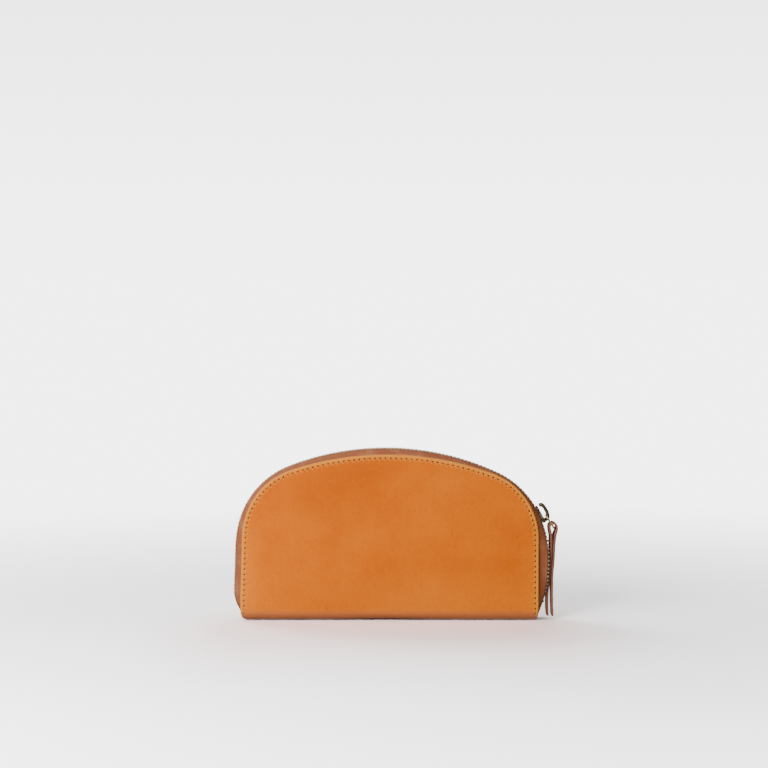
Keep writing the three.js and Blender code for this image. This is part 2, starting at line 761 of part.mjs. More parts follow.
// The inside: three tiers of card slots at the back, a slip pocket at the front.
const liningFace = HALF_DEPTH - LEATHER - 2 * (GAP + LINER);
['upper', 'middle', 'lower'].forEach((tier, index) => {
  const y = liningFace - (index + 1) * (GAP + LINER);
  add(`card_slot_${tier}`, cardTier(60 - 10 * index, y), liningLeather);
});
add('slip_pocket', slipPocket(-liningFace + GAP), liningLeather);
add('gusset_left', gusset(-1), liningCloth);
add('gusset_right', gusset(1), liningCloth);

// The coin pocket.
add('coin_pocket_bag', coinBag(), liningCloth);
for (const [half, side] of Object.entries(sides)) {
  add(`coin_tape_${half}`, coinTape(side), tapeCloth);
  const chain = add(`coin_chain_${half}`, coinChain(), toothBrass);
  chain.position.set(0, side * 0.85, COIN_ZIP_Z + 0.9);
}
const coinSliderX = 54;
const coinSliderMesh = add('coin_slider_body', coinSlider(), antiqueBrass);
coinSliderMesh.position.set(coinSliderX, 0, COIN_ZIP_Z + 0.9);
const coinPullMesh = add('coin_pull_tab', coinPull(), antiqueBrass);
coinPullMesh.position.set(coinSliderX, 0, COIN_ZIP_Z + 3.9);

export default pouch;
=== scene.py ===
import json
import math

import bmesh
import bpy
import numpy as np
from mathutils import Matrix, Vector, noise
from mathutils.geometry import delaunay_2d_cdt


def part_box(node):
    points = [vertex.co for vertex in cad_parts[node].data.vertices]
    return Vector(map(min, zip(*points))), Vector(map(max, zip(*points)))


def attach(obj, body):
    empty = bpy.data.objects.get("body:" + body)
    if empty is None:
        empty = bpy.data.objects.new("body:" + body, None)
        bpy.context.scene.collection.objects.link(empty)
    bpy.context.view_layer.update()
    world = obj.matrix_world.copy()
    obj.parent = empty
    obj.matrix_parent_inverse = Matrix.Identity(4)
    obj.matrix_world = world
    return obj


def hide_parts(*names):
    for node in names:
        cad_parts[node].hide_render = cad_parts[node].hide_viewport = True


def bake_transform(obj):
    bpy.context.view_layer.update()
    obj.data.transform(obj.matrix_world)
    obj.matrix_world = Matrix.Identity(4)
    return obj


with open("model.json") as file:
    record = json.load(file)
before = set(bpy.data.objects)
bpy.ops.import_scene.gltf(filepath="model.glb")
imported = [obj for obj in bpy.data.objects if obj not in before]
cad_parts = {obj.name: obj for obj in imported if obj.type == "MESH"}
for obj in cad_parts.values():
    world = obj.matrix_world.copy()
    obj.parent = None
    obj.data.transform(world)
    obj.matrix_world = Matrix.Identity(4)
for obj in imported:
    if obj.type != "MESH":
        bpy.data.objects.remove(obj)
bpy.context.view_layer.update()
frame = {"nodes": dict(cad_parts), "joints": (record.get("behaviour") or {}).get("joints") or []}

# Shapes are worked out in millimetres and turned into metres where a mesh is made.
MM = 0.001


def cad_box(node):
    """Lowest and highest corner of a CAD node, in millimetres."""
    low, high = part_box(node)
    return np.array(low) / MM, np.array(high) / MM


# ---- Camera ----

CAMERA_DISTANCE = 1.6
CAMERA_ELEVATION = math.radians(3.0)
CAMERA_TARGET = Vector((-0.0038, 0.0, 0.1497))
VIEW_WIDTH = 0.4877

camera = bpy.data.objects.new("camera", bpy.data.cameras.new("camera"))
bpy.context.scene.collection.objects.link(camera)
camera.data.lens = camera.data.sensor_width * CAMERA_DISTANCE / VIEW_WIDTH
camera.location = CAMERA_TARGET + CAMERA_DISTANCE * Vector(
    (0.0, -math.cos(CAMERA_ELEVATION), math.sin(CAMERA_ELEVATION))
)
camera.rotation_mode = "QUATERNION"
camera.rotation_quaternion = (CAMERA_TARGET - camera.location).to_track_quat("-Z", "Y")
bpy.context.scene.camera = camera


# ---- Procedural materials ----


class Nodes:
    """Adds nodes to a tree. Lengths in their patterns are millimetres."""

    def __init__(self, tree):
        self.tree = tree
        self.place = None

    def feed(self, socket, value):
        if isinstance(value, bpy.types.NodeSocket):
            self.tree.links.new(value, socket)
        else:
            socket.default_value = value

    def node(self, kind, inputs, **settings):
        node = self.tree.nodes.new("ShaderNode" + kind)
        for key, value in settings.items():
            setattr(node, key, value)
        for key, value in inputs.items():
            self.feed(node.inputs[key], value)
        return node

    def maths(self, operation, *values):
        return self.node("Math", dict(enumerate(values)), operation=operation).outputs[0]

    def times(self, first, second):
        return self.maths("MULTIPLY", first, second)

    def wave(self, distance, length):
        return self.maths("SINE", self.times(distance, 2 * math.pi / length))

    def total(self, *terms):
        """Sum of (value, weight) pairs."""
        result = None
        for value, weight in terms:
            term = self.times(value, weight)
            result = term if result is None else self.maths("ADD", result, term)
        return result

    def mix(self, factor, first, second):
        inputs = {0: factor, 6: first, 7: second}
        return self.node("Mix", inputs, data_type="RGBA").outputs[2]

    def between(self, value, low, high, start=0.0, end=1.0):
        inputs = {0: value, 1: low, 2: high, 3: start, 4: end}
        return self.node("MapRange", inputs, interpolation_type="SMOOTHSTEP").outputs[0]

    def coats(self, colour, *coats):
        """Lays tints over a colour: (pattern, where it starts, where it is full, share, tint)."""
        for pattern, low, high, share, tint in coats:
            colour = self.mix(self.between(pattern, low, high, 0.0, share), colour, tint)
        return colour

    def attribute(self, name):
        return self.node("Attribute", {}, attribute_name=name).outputs["Fac"]

    def where(self, size):
        """The object's own position, counted in cells of a size in millimetres."""
        if self.place is None:
            self.place = self.node("TexCoord", {}).outputs["Object"]
        sizes = size if isinstance(size, tuple) else (size, size, size)
        inputs = {0: self.place, 1: [1 / (MM * v) for v in sizes]}
        return self.node("VectorMath", inputs, operation="MULTIPLY").outputs[0]

    def noise(self, size, detail=2.0, roughness=0.5):
        inputs = {"Vector": self.where(size), "Scale": 1.0, "Detail": detail,
                  "Roughness": roughness}
        return self.node("TexNoise", inputs).outputs[0]

    def cells(self, size):
        inputs = {"Vector": self.where(size), "Scale": 1.0}
        return self.node("TexVoronoi", inputs).outputs["Distance"]


class Paint(Nodes):
    """A procedural material being built."""

    def __init__(self, name, **sockets):
        self.material = bpy.data.materials.new(name)
        self.material.use_nodes = True
        super().__init__(self.material.node_tree)
        self.set(**sockets)

    def set(self, **sockets):
        for key, value in sockets.items():
            self.feed(self.tree.nodes["Principled BSDF"].inputs[key.replace("_", " ")], value)

    def finished(self, colour, roughness, height, strength=0.8):
        bump = self.node("Bump", {"Height": height, "Distance": MM, "Strength": strength})
        self.set(Base_Color=colour, Roughness=roughness, Normal=bump.outputs[0])
        return self.material


# Paler tan for the patches of painted light.
PAINTED_LIGHT_TAN = (1.0, 0.27, 0.012, 1)
# Pale pinkish tan: painted light bounced off the floor onto the leather just above it.
BOUNCE_LIT_TAN = (0.90, 0.50, 0.36, 1)
# Near-black: painted shade in the stitch holes.
HOLE_SHADE = (0.019382, 0.005182, 0.002428, 1)
STITCH_PITCH = 3.35
STITCH_INSET = 2.15
HOLE_LENGTH, HOLE_WIDTH = 0.52, 0.44


def leather_paint(name, base, light, dark, edge, roughness, stitched=False, painted_fold_shade_and_reflection=None):
    """Smooth leather with pores, streaks and a pale edge band, partly its own paler edge and partly
    a painted highlight, with stitch holes if it is sewn.

    Where it is folded under a base it is painted towards a given fold colour, duller and greyer: a
    painted reflection of the pale floor with painted shade. Just above the floor it is painted
    paler still, with painted light bounced off the floor.
    """
    paint = Paint(name, IOR=1.45, Specular_IOR_Level=0.06)
    mottle = paint.noise((1.9, 1.9, 2.3), 2.0, 0.6)
    streak = paint.noise((2.6, 2.6, 34), 3.0)
    speck = paint.noise((1.1, 1.1, 1.6), 2.0, 0.6)
    pore = paint.cells((0.55, 0.55, 0.6))
    colour = paint.coats(base, (paint.noise((30, 30, 26), 4.0), 0.24, 0.78, 1.0, light))
    # Broad patches painted lighter and paler or darker: painted light and painted shade where the
    # light falls more or less on the panels. They come with the fold colour.
    if painted_fold_shade_and_reflection is not None:
        patina = paint.attribute("patina")
        colour = paint.coats(colour, (patina, 0.0, 1.0, 1.0, PAINTED_LIGHT_TAN),
                             (patina, 0.0, -1.0, 1.0, dark))
    colour = paint.coats(
        colour, (streak, 0.50, 0.78, 0.10, dark), (mottle, 0.40, 0.72, 0.16, dark),
        (paint.noise((1.2, 1.2, 5.0), 2.0), 0.66, 0.76, 0.40, dark),
        (speck, 0.58, 0.78, 0.75, light), (pore, 0.22, 0.02, 0.30, dark),
    )
    border = paint.attribute("edge_mm")
    # A pale band along the edge, made ragged by noise: partly the edge's own paler colour, partly a
    # painted highlight where the rounded edge catches the light.
    edge_band = paint.maths("ADD", border, paint.times(paint.noise((5, 5, 5), 2.0), 0.9))
    colour = paint.coats(colour, (edge_band, 2.5, 1.7, 0.75, edge))
    height = paint.total((paint.noise(0.8, 3.0, 0.6), 0.05), (paint.noise(5.0, 2.0), 0.10),
                         (paint.between(pore, 0.0, 0.30), 0.035))
    if stitched:
        sewn = paint.attribute("seam")
        along = paint.maths("DIVIDE", paint.attribute("along_mm"), STITCH_PITCH)
        step = paint.maths("SUBTRACT", paint.maths("FRACT", paint.maths("ADD", along, 0.5)), 0.5)
        across = paint.maths("SUBTRACT", border, STITCH_INSET)
        reach = paint.maths("SQRT", paint.maths(
            "ADD",
            paint.maths("POWER", paint.times(step, STITCH_PITCH / HOLE_LENGTH), 2.0),
            paint.maths("POWER", paint.maths("DIVIDE", across, HOLE_WIDTH), 2.0),
        ))
        # Each hole is painted near-black: painted shade in the hole. A wider dent round each hole
        # is painted a little darker.
        hole = paint.times(paint.between(reach, 1.15, 0.55), sewn)
        pressed = paint.times(paint.between(reach, 3.4, 0.8), sewn)
        slide = paint.maths("ABSOLUTE", paint.maths(
            "SUBTRACT", paint.times(step, STITCH_PITCH), paint.times(across, 0.7)
        ))
        pull = paint.times(paint.between(slide, 0.75, 0.25), paint.between(across, 2.1, 0.9))
        pull = paint.times(pull, paint.between(across, 0.3, 0.8, 0.0, 0.7))
        colour = paint.mix(paint.times(pull, sewn), colour, edge)
        colour = paint.mix(paint.times(pressed, 0.22), colour, dark)
        colour = paint.mix(hole, colour, HOLE_SHADE)
        height = paint.maths("SUBTRACT", height, paint.total((hole, 0.30), (pressed, 0.16)))
    # Painted reflection of the pale floor and painted shade: the fold under the base is painted
    # duller and greyer, its top made ragged by the mottle.
    if painted_fold_shade_and_reflection is not None:
        rise = paint.attribute("rise_mm")
        ragged = paint.maths("ADD", rise, paint.times(mottle, 1.2))
        colour = paint.coats(colour, (ragged, 9.5, 1.6, 0.9, painted_fold_shade_and_reflection),
                             # Just above the floor it is painted paler: painted light bounced off
                             # the floor.
                             (rise, 2.2, 0.5, 0.9, BOUNCE_LIT_TAN))
    rough = paint.maths("ADD", paint.total((streak, 0.10), (speck, 0.10)), roughness)
    return paint.finished(colour, rough, height)


def twill_paint(name, base, light, dark, rib=0.62, wale=2.6):
    """A woven tape: fine diagonal ribs that change direction every few wales."""
    paint = Paint(name, Specular_IOR_Level=0.04)
    along, across = paint.attribute("along_mm"), paint.attribute("across_mm")
    slope = paint.maths("ADD", along, paint.times(paint.maths("PINGPONG", across, wale), 0.9))
    weave = paint.total((paint.wave(slope, rib), 0.5), (paint.wave(across, rib * 0.8), 0.35))
    fuzz = paint.noise(0.45, 3.0, 0.7)
    colour = paint.mix(paint.between(weave, -0.7, 0.7), dark, base)
    colour = paint.coats(
        colour, (paint.noise((9, 9, 9), 3.0), 0.45, 0.72, 0.55, light),
        (fuzz, 0.55, 0.8, 0.35, light),
        (paint.noise((1.1, 1.1, 1.1), 3.0, 0.7), 0.50, 0.74, 0.55, dark),
    )
    height = paint.total((weave, 0.05), (fuzz, 0.05), (paint.noise((4, 4, 4)), 0.12))
    return paint.finished(colour, paint.total((fuzz, 0.12), (1.0, 0.72)), height)


def cloth_paint(name, base, light, dark, thread=0.5):
    """A plain-woven cotton lining."""
    paint = Paint(name, Specular_IOR_Level=0.15, Sheen_Weight=0.15)
    warp, weft = (paint.wave(paint.attribute(key), thread) for key in ("along_mm", "across_mm"))
    weave = paint.times(warp, weft)
    fuzz = paint.noise(0.6, 3.0, 0.7)
    colour = paint.mix(paint.between(weave, -0.8, 0.8), dark, base)
    colour = paint.coats(colour, (paint.noise((14, 14, 1.4), 2.0), 0.52, 0.75, 0.5, light))
    height = paint.total((weave, 0.05), (fuzz, 0.05), (paint.noise((9, 9, 12)), 0.35))
    return paint.finished(colour, paint.total((fuzz, 0.1), (1.0, 0.78)), height)


def brass_paint(name, base, dark, bright, roughness, metallic=0.95, rim=(1, 1, 1, 1)):
    """Aged brass: darker in patches and flecks, brighter on its ridges (partly rubbed wear, partly
    a painted highlight), finely scratched.
    """
    paint = Paint(name, Metallic=metallic, Specular_Tint=rim)
    patch = paint.noise(2.2, 3.0, 0.6)
    fleck = paint.noise(0.5, 3.0, 0.6)
    scratch = paint.noise((0.25, 0.25, 4.0), 2.0)
    ridge = paint.node("NewGeometry", {}).outputs["Pointiness"]
    colour = paint.mix(paint.between(patch, 0.35, 0.65), dark, base)
    # Ridges painted brighter: partly rubbed brass, partly a painted highlight. Flecks are painted
    # darker.
    colour = paint.coats(colour, (ridge, 0.50, 0.58, 0.8, bright), (fleck, 0.62, 0.8, 0.3, dark))
    rough = paint.total((patch, 0.22), (scratch, 0.12), (1.0, roughness))
    height = paint.total((fleck, 0.015), (scratch, 0.015), (patch, 0.02))
    return paint.finished(colour, rough, height, 0.5)


def thread_paint(name, base, dark, twist=0.55):
    """Waxed thread, twisted from plies."""
    paint = Paint(name, Specular_IOR_Level=0.12)
    turn = paint.total((paint.attribute("along_mm"), 2 * math.pi / twist),
                       (paint.attribute("across_mm"), 1.0))
    ply = paint.maths("SINE", turn)
    fuzz = paint.noise(0.4, 2.0)
    colour = paint.mix(paint.between(ply, -0.9, 0.3), dark, base)
    rough = paint.total((fuzz, 0.15), (1.0, 0.45))
    return paint.finished(colour, rough, paint.total((ply, 0.04), (fuzz, 0.03)), 0.7)


def board_paint(name, base, dark):
    """Grey-brown pressed felt or board."""
    paint = Paint(name)
    fibre = paint.noise((0.5, 0.5, 0.5), 4.0, 0.7)
    cloud = paint.noise((8, 8, 8), 2.0)
    colour = paint.mix(paint.between(fibre, 0.35, 0.7), dark, base)
    colour = paint.coats(colour, (cloud, 0.4, 0.7, 0.4, dark))
    rough = paint.total((fibre, 0.1), (1.0, 0.82))
    return paint.finished(colour, rough, paint.total((fibre, 0.12), (cloud, 0.1)))


# The last colour is what its fold under the base is painted towards: a painted reflection of the
# pale floor with painted shade.
TAN = leather_paint(
    "tan_leather", (0.78, 0.148, 0.0, 1), (0.90, 0.200, 0.0, 1), (0.58, 0.092, 0.0, 1),
    (0.98, 0.37, 0.045, 1), 0.50, stitched=True, painted_fold_shade_and_reflection=(0.60, 0.215, 0.10, 1),
)
PULL = leather_paint(
    "pull_leather", (0.26, 0.100, 0.064, 1), (0.36, 0.16, 0.11, 1), (0.14, 0.050, 0.030, 1),
    (0.31, 0.13, 0.085, 1), 0.48,
)
INNER_SEWN = leather_paint(
    "pocket_leather", (0.34, 0.130, 0.050, 1), (0.42, 0.18, 0.078, 1), (0.21, 0.072, 0.026, 1),
    (0.52, 0.26, 0.12, 1), 0.55, stitched=True,
)
TAPE_CLOTH = twill_paint(
    "zip_tape", (0.47, 0.162, 0.074, 1), (0.56, 0.222, 0.112, 1), (0.31, 0.098, 0.044, 1)
)
LINING_CLOTH = cloth_paint(
    "lining_cloth", (0.48, 0.36, 0.23, 1), (0.56, 0.44, 0.30, 1), (0.30, 0.21, 0.13, 1)
)
BRASS = brass_paint(
    "antique_brass", (0.13, 0.10, 0.055, 1), (0.05, 0.040, 0.022, 1), (0.36, 0.29, 0.16, 1), 0.36,
    rim=(0.30, 0.25, 0.16, 1),
)
GOLD = brass_paint(
    "rubbed_brass", (0.62, 0.42, 0.20, 1), (0.28, 0.18, 0.085, 1), (0.92, 0.70, 0.40, 1), 0.26
)
TOOTH = brass_paint(
    "tooth_brass", (0.80, 0.67, 0.46, 1), (0.50, 0.39, 0.25, 1), (0.95, 0.84, 0.62, 1), 0.38,
    metallic=0.35,
)
THREAD = thread_paint("thread", (1.0, 0.46, 0.11, 1), (0.88, 0.30, 0.03, 1))
FELT = board_paint("felt_board", (0.22, 0.19, 0.16, 1), (0.12, 0.10, 0.085, 1))


# ---- Mesh making ----


def make(name, shape, material, slot, body=None, node=None, smooth=True):
    """A closed mesh object from a shape in millimetres, with its faces turned outwards.

    A shape is (points, faces) or (points, faces, attributes). Where a body and a CAD node are
    given, the object rides on the body and takes the node's place.
    """
    points, faces, *attributes = shape
    mesh = bpy.data.meshes.new(name)
    mesh.from_pydata((np.asarray(points, float) * MM).tolist(), [], [list(f) for f in faces])
    for key, values in (attributes[0].items() if attributes else ()):
        layer = mesh.attributes.new(key, "FLOAT", "POINT")
        layer.data.foreach_set("value", np.asarray(values, np.float32))
    solid = bmesh.new()
    solid.from_mesh(mesh)
    bmesh.ops.recalc_face_normals(solid, faces=solid.faces)
    solid.to_mesh(mesh)
    solid.free()
    mesh.polygons.foreach_set("use_smooth", [smooth] * len(mesh.polygons))
    mesh.materials.append(material)
    piece = bpy.data.objects.new(name, mesh)
    bpy.context.scene.collection.objects.link(piece)
    if node:
        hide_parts(node)
    if body:
        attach(piece, body)
    return piece


def merged(parts):
    """Joins shapes into one."""
    points, faces, attributes, start = [], [], {}, 0
    for part_points, part_faces, *part_attributes in parts:
        points.append(part_points)
        faces.extend([[i + start for i in face] for face in part_faces])
        for key, values in (part_attributes[0].items() if part_attributes else ()):
            attributes.setdefault(key, []).append(values)
        start += len(part_points)
    return np.vstack(points), faces, {k: np.concatenate(v) for k, v in attributes.items()}


def skin(rings, closed=False):
    """Faces over rings of points: a tube, capped at its ends unless it closes on itself."""
    rings = np.asarray(rings, float)
    steps, sides = rings.shape[:2]
    faces = []
    for step in range(steps if closed else steps - 1):
        near, far = step * sides, ((step + 1) % steps) * sides
        for side in range(sides):
            after = (side + 1) % sides
            faces.append((near + side, near + after, far + after, far + side))
    if not closed:
        faces.append(tuple(range(sides))[::-1])
        faces.append(tuple((steps - 1) * sides + i for i in range(sides)))
    return rings.reshape(-1, 3), faces


def curve(points, count):
    """An even Catmull-Rom curve through points of any dimension."""
    points = np.asarray(points, float)
    before = 2 * points[0] - points[1]
    after = 2 * points[-1] - points[-2]
    padded = np.vstack([before, points, after])
    dense = []
    for i in range(1, len(padded) - 2):
        a, b, c, d = padded[i - 1: i + 3]
        for t in np.linspace(0, 1, 24, endpoint=False):
            dense.append(0.5 * (2 * b + (c - a) * t + (2 * a - 5 * b + 4 * c - d) * t * t
                                + (3 * b - a - 3 * c + d) * t ** 3))
    dense.append(points[-1])
    return resample(np.array(dense), count)


def unit(rows):
    """Each row scaled to a length of one."""
    return rows / np.linalg.norm(rows, axis=1)[:, None]


def directions(line):
    """The unit direction of a line at each of its points."""
    return unit(np.gradient(line, axis=0))


def lengths(points):
    """Distance along a line of points, at each of them."""
    return np.concatenate([[0], np.cumsum(np.linalg.norm(np.diff(points, axis=0), axis=1))])


def resample(points, count):
    walked = lengths(points)
    wanted = np.linspace(0, walked[-1], count)
    return np.stack([np.interp(wanted, walked, column) for column in points.T], 1)


def smoothstep(value, low, high):
    t = np.clip((value - low) / (high - low), 0, 1)
    return t * t * (3 - 2 * t)


def wander(x, y, z, size, seed=0.0):
    """Smooth noise at points in millimetres, between about -1 and 1."""
    return np.array([
        noise.noise(Vector((a / size + seed, b / size - seed, c / size)))
        for a, b, c in zip(np.ravel(x), np.ravel(y), np.ravel(z))
    ])


def oblong(left, foot, right, top):
    """The corners of a rectangle, anticlockwise."""
    return np.array([(left, foot), (right, foot), (right, top), (left, top)])


def rounded_outline(points, corner, steps):
    """A closed outline with the corners of a polygon rounded off."""
    points = np.array(points, float)
    outline = []
    for i, point in enumerate(points):
        inward, onward = unit(np.array([points[i - 1], points[(i + 1) % len(points)]]) - point)
        back = corner / math.tan(math.acos(np.clip(np.dot(inward, onward), -1, 1)) / 2)
        start, end = point + inward * back, point + onward * back
        for t in np.linspace(0, 1, steps + 1):
            outline.append((1 - t) ** 2 * start + 2 * t * (1 - t) * point + t * t * end)
    return np.array(outline)


def spaced(outline, spacing):
    """A closed outline with extra points along its long edges."""
    result = []
    for i, point in enumerate(outline):
        after = outline[(i + 1) % len(outline)]
        count = max(1, int(round(np.linalg.norm(after - point) / spacing)))
        result.extend(point + (after - point) * t for t in np.linspace(0, 1, count, endpoint=False))
    return np.array(result)


def right_of(run):
    """Each direction in a plane turned a quarter to the right."""
    return np.stack([run[:, 1], -run[:, 0]], 1)


def outline_normals(outline):
    """Outward normals of a closed anticlockwise outline."""
    return right_of(unit(np.roll(outline, -1, 0) - np.roll(outline, 1, 0)))


def lattice(outline, columns, rows, margin):
    """Points of a staggered grid that lie inside an outline by a margin, and how far inside."""
    stagger = (columns[1] - columns[0]) * 0.5
    grid = np.array([(u + stagger * (k % 2), v) for k, v in enumerate(rows) for u in columns])
    start, end = outline, np.roll(outline, -1, 0)
    inside = np.zeros(len(grid), bool)
    away = np.full(len(grid), 1e9)
    for (x0, y0), (x1, y1) in zip(start, end):
        crosses = (y0 > grid[:, 1]) != (y1 > grid[:, 1])
        if y0 != y1:
            at = x0 + (grid[:, 1] - y0) / (y1 - y0) * (x1 - x0)
            inside ^= crosses & (grid[:, 0] < at)
        run = np.array([x1 - x0, y1 - y0])
        share = np.clip(((grid - (x0, y0)) @ run) / max(run @ run, 1e-9), 0, 1)
        gap = np.linalg.norm(grid - (x0, y0) - share[:, None] * run, axis=1)
        away = np.minimum(away, gap)
    kept = inside & (away > margin)
    return grid[kept], away[kept]


def double_sheet(loops, offsets, fill, fill_depth, thickness, place, marks=None):
    """Both faces of a flat cut sheet with a rounded edge: points, faces and attributes.

    The loops lie at the offsets inside the sheet's outline, with triangles over the fill points.
    place(u, v, depth) puts a point of the sheet in space, depth being below its outer face.
    """
    count = len(loops[0])
    flat = np.vstack([*loops, fill])
    border = np.concatenate([np.repeat(offsets, count), fill_depth])
    faces = []
    for ring in range(len(offsets) - 1):
        near, far = ring * count, (ring + 1) * count
        for i in range(count):
            j = (i + 1) % count
            faces.append((near + i, near + j, far + j, far + i))
    last = (len(offsets) - 1) * count
    innermost = [(i, (i + 1) % count) for i in range(count)]
    _, _, triangles, sources, _, _ = delaunay_2d_cdt(
        [Vector(p) for p in flat[last:]], innermost, [], 1, 1e-4
    )
    faces += [tuple(last + sources[i][0] for i in t) for t in triangles]
    half = thickness / 2
    rounded = half - np.sqrt(np.maximum(half**2 - (half - border) ** 2, 0))
    sunk = np.where(border < half, rounded, 0)
    outer = place(flat[:, 0], flat[:, 1], sunk)
    inner = place(flat[count:, 0], flat[count:, 1], thickness - sunk[count:])
    shift = len(flat) - count
    back = [tuple((i if i < count else i + shift) for i in reversed(face)) for face in faces]
    attributes = {"edge_mm": border}
    if marks is None:
        attributes.update(along_mm=flat[:, 0], across_mm=flat[:, 1])
    for key, values in (marks or {}).items():
        attributes[key] = np.concatenate([np.tile(values, len(offsets)), np.zeros(len(fill))])
    attributes = {key: np.concatenate([v, v[count:]]) for key, v in attributes.items()}
    return np.vstack([outer, inner]), faces + back, attributes


# ---- The arches of the panels and the zip ----


class Arch:
    """Two upright sides, two shoulders and a wide crown, meeting smoothly."""

    def __init__(self, left, right, top, crown_x, crown_radius, left_radius, right_radius):
        self.values = (left, right, top, crown_x, crown_radius, left_radius, right_radius)
        self.crown_radius = crown_radius
        self.crown = np.array([crown_x, top - crown_radius])
        self.sides = []
        for edge, radius, sign in ((right, right_radius, 1), (left, left_radius, -1)):
            x = edge - sign * radius
            z = self.crown[1] + math.sqrt((crown_radius - radius) ** 2 - (x - crown_x) ** 2)
            self.sides.append((np.array([x, z]), radius))

    def inset(self, d):
        left, right, top, crown_x, *radii = self.values
        return Arch(left + d, right - d, top - d, crown_x, *(radius - d for radius in radii))

    def at(self, foot, station):
        """Point and outward normal: 0 to 1 up the right side, 1 to 4 over the top, 4 to 5 down."""
        point, normal = self.upright(foot, station)
        share = max(-point[0], 0) / HALF_LENGTH
        rise = np.interp(point[1], LEAN_HEIGHTS, LEAN_AMOUNTS)
        return point + (rise * share ** 3, 0), normal

    def upright(self, foot, station):
        """The same point and normal, before the left side leans in."""
        if station <= 1 or station >= 4:
            (centre, radius), sign = (self.sides[0], 1) if station <= 1 else (self.sides[1], -1)
            height = foot + (centre[1] - foot) * (station if station <= 1 else 5 - station)
            return np.array([centre[0] + sign * radius, height]), np.array([sign, 0.0])
        turns = [math.atan2(*(centre - self.crown)[::-1]) for centre, _ in self.sides]
        arcs = (self.sides[0], (self.crown, self.crown_radius), self.sides[1])
        centre, radius = arcs[int(station) - 1]
        angle = np.interp(station, (1, 2, 3, 4), (0, *turns, math.pi))
        normal = np.array([math.cos(angle), math.sin(angle)])
        return centre + radius * normal, normal

    def depth(self, x, z):
        """How far points lie inside the arch."""
        left, right = self.values[:2]
        from_crown = np.hypot(x - self.crown[0], z - self.crown[1])
        inside = np.minimum(np.minimum(right - x, x - left), self.crown_radius - from_crown)
        for (centre, radius), sign in zip(self.sides, (1, -1)):
            sector = (sign * (x - centre[0]) > 0) & (z > centre[1])
            reach = radius - np.hypot(x - centre[0], z - centre[1])
            inside = np.where(sector, np.minimum(inside, reach), inside)
        return inside


def along_arch(place, spacing, first=0.0, last=5.0):
    """Stations spaced evenly along a line that place(station) gives, and the spacing used."""
    coarse = np.linspace(first, last, 1501)
    walked = lengths(np.array([place(s) for s in coarse]))
    count = int(round(walked[-1] / spacing))
    return np.interp(np.linspace(0, walked[-1], count + 1), walked, coarse), walked[-1] / count


HALF_LENGTH, _, PANEL_TOP = cad_box("cover_front")[1]
PANEL = Arch(-HALF_LENGTH, HALF_LENGTH - 0.6, PANEL_TOP, -2.0, 192.2, 46.9, 44.1)
ZIP = Arch(-99.9, 100.6, 109.6, -2.9, 169.8, 55.8, 55.6)
# The left side leans in by these amounts at these heights.
LEAN_HEIGHTS = (16.0, 36.0, 52.0, 66.0, 95.0)
LEAN_AMOUNTS = (0.0, 0.60, 1.05, 0.85, 0.20)

HALVES = (("front", -1), ("back", 1))
LEATHER = 1.6
HALF_DEPTH = 12.6
FOLD_RADIUS = 7.5
# How far each panel swells, and how far in from its rim and up from its foot that begins.
DOME, DOME_RIM, DOME_FOOT = 1.4, 14, 12
BASE_FLAT = HALF_DEPTH - FOLD_RADIUS
FOLD_TOP = BASE_FLAT + FOLD_RADIUS * math.pi / 2
BASE_HALF_LENGTH = 92.0
# The base stands clear of the floor by so much about its middle, and by so much on its left.
BASE_ARCH, BASE_ARCH_REACH = 0.45, 28.0
BASE_LEFT_LIFT, BASE_LEFT_START = 0.20, -45.0
# The stitching starts this far round from the middle of the base.
SEAM_FOOT = FOLD_TOP - 4.6
# The arch starts this far round from the middle of the base, which is this high.
CORNER = FOLD_TOP + 0.4
PANEL_FOOT = CORNER - FOLD_TOP + FOLD_RADIUS
PANEL_STATIONS, _ = along_arch(lambda s: PANEL.at(PANEL_FOOT, s)[0], STITCH_PITCH / 2)


# ---- Leather cover: one piece, folded under the base ----


def half_length_at(v, end):
    """Length from the middle to an end (-1 or 1), at a distance round from the base's middle."""
    widen = smoothstep(np.abs(v), BASE_FLAT - 1.0, FOLD_TOP - 2.5)
    full = PANEL.values[1] if end > 0 else -PANEL.values[0]
    return BASE_HALF_LENGTH + (full - BASE_HALF_LENGTH) * widen ** 0.8


def panel_bulge(x, z, side):
    """How far a panel's face stands out from a flat one."""
    round_in = 1 - np.abs(x / HALF_LENGTH) ** 2.6
    top = np.tanh(np.maximum(PANEL.depth(x, z), 0) / DOME_RIM)
    foot = np.tanh(np.maximum(z - FOLD_RADIUS, 0) / DOME_FOOT)
    still = np.full(np.shape(x), side * 30.0)
    waves = wander(x, still, z, 42) * 0.35 + wander(x, still, z, 17, 3.0) * 0.10
    return (DOME * round_in + waves) * top * foot


def cover_place(u, v, depth):
    """Wraps the flat cover round the base: u along it, v round it from its middle."""
    around, side = np.abs(v), np.sign(v)
    turn = np.clip((around - BASE_FLAT) / FOLD_RADIUS, 0, math.pi / 2)
    rise = np.maximum(around - FOLD_TOP, 0)
    radius = FOLD_RADIUS - depth
    y = np.where(around < BASE_FLAT, around, BASE_FLAT + radius * np.sin(turn))
    z = np.where(around < BASE_FLAT, depth, FOLD_RADIUS - radius * np.cos(turn)) + rise
    arch = BASE_ARCH * np.exp(-(u / BASE_ARCH_REACH) ** 2)
    arch = arch + BASE_LEFT_LIFT * smoothstep(-u, BASE_LEFT_START, 0.0)
    z = z + arch * (1 - smoothstep(around, BASE_FLAT, FOLD_TOP))
    out = sum(panel_bulge(u, z, s) * (side == s) for s in (-1.0, 1.0))
    return np.stack([u, side * (y + np.where(rise > 0, out, 0)), z], 1)


# Loops of points follow the cover's outline at these distances inside it.
BORDER = (0, 0.07, 0.24, 0.5, 0.8, 1.2, 1.7, 2.1, 2.4, 2.7, 3.2, 4.0, 5.2)
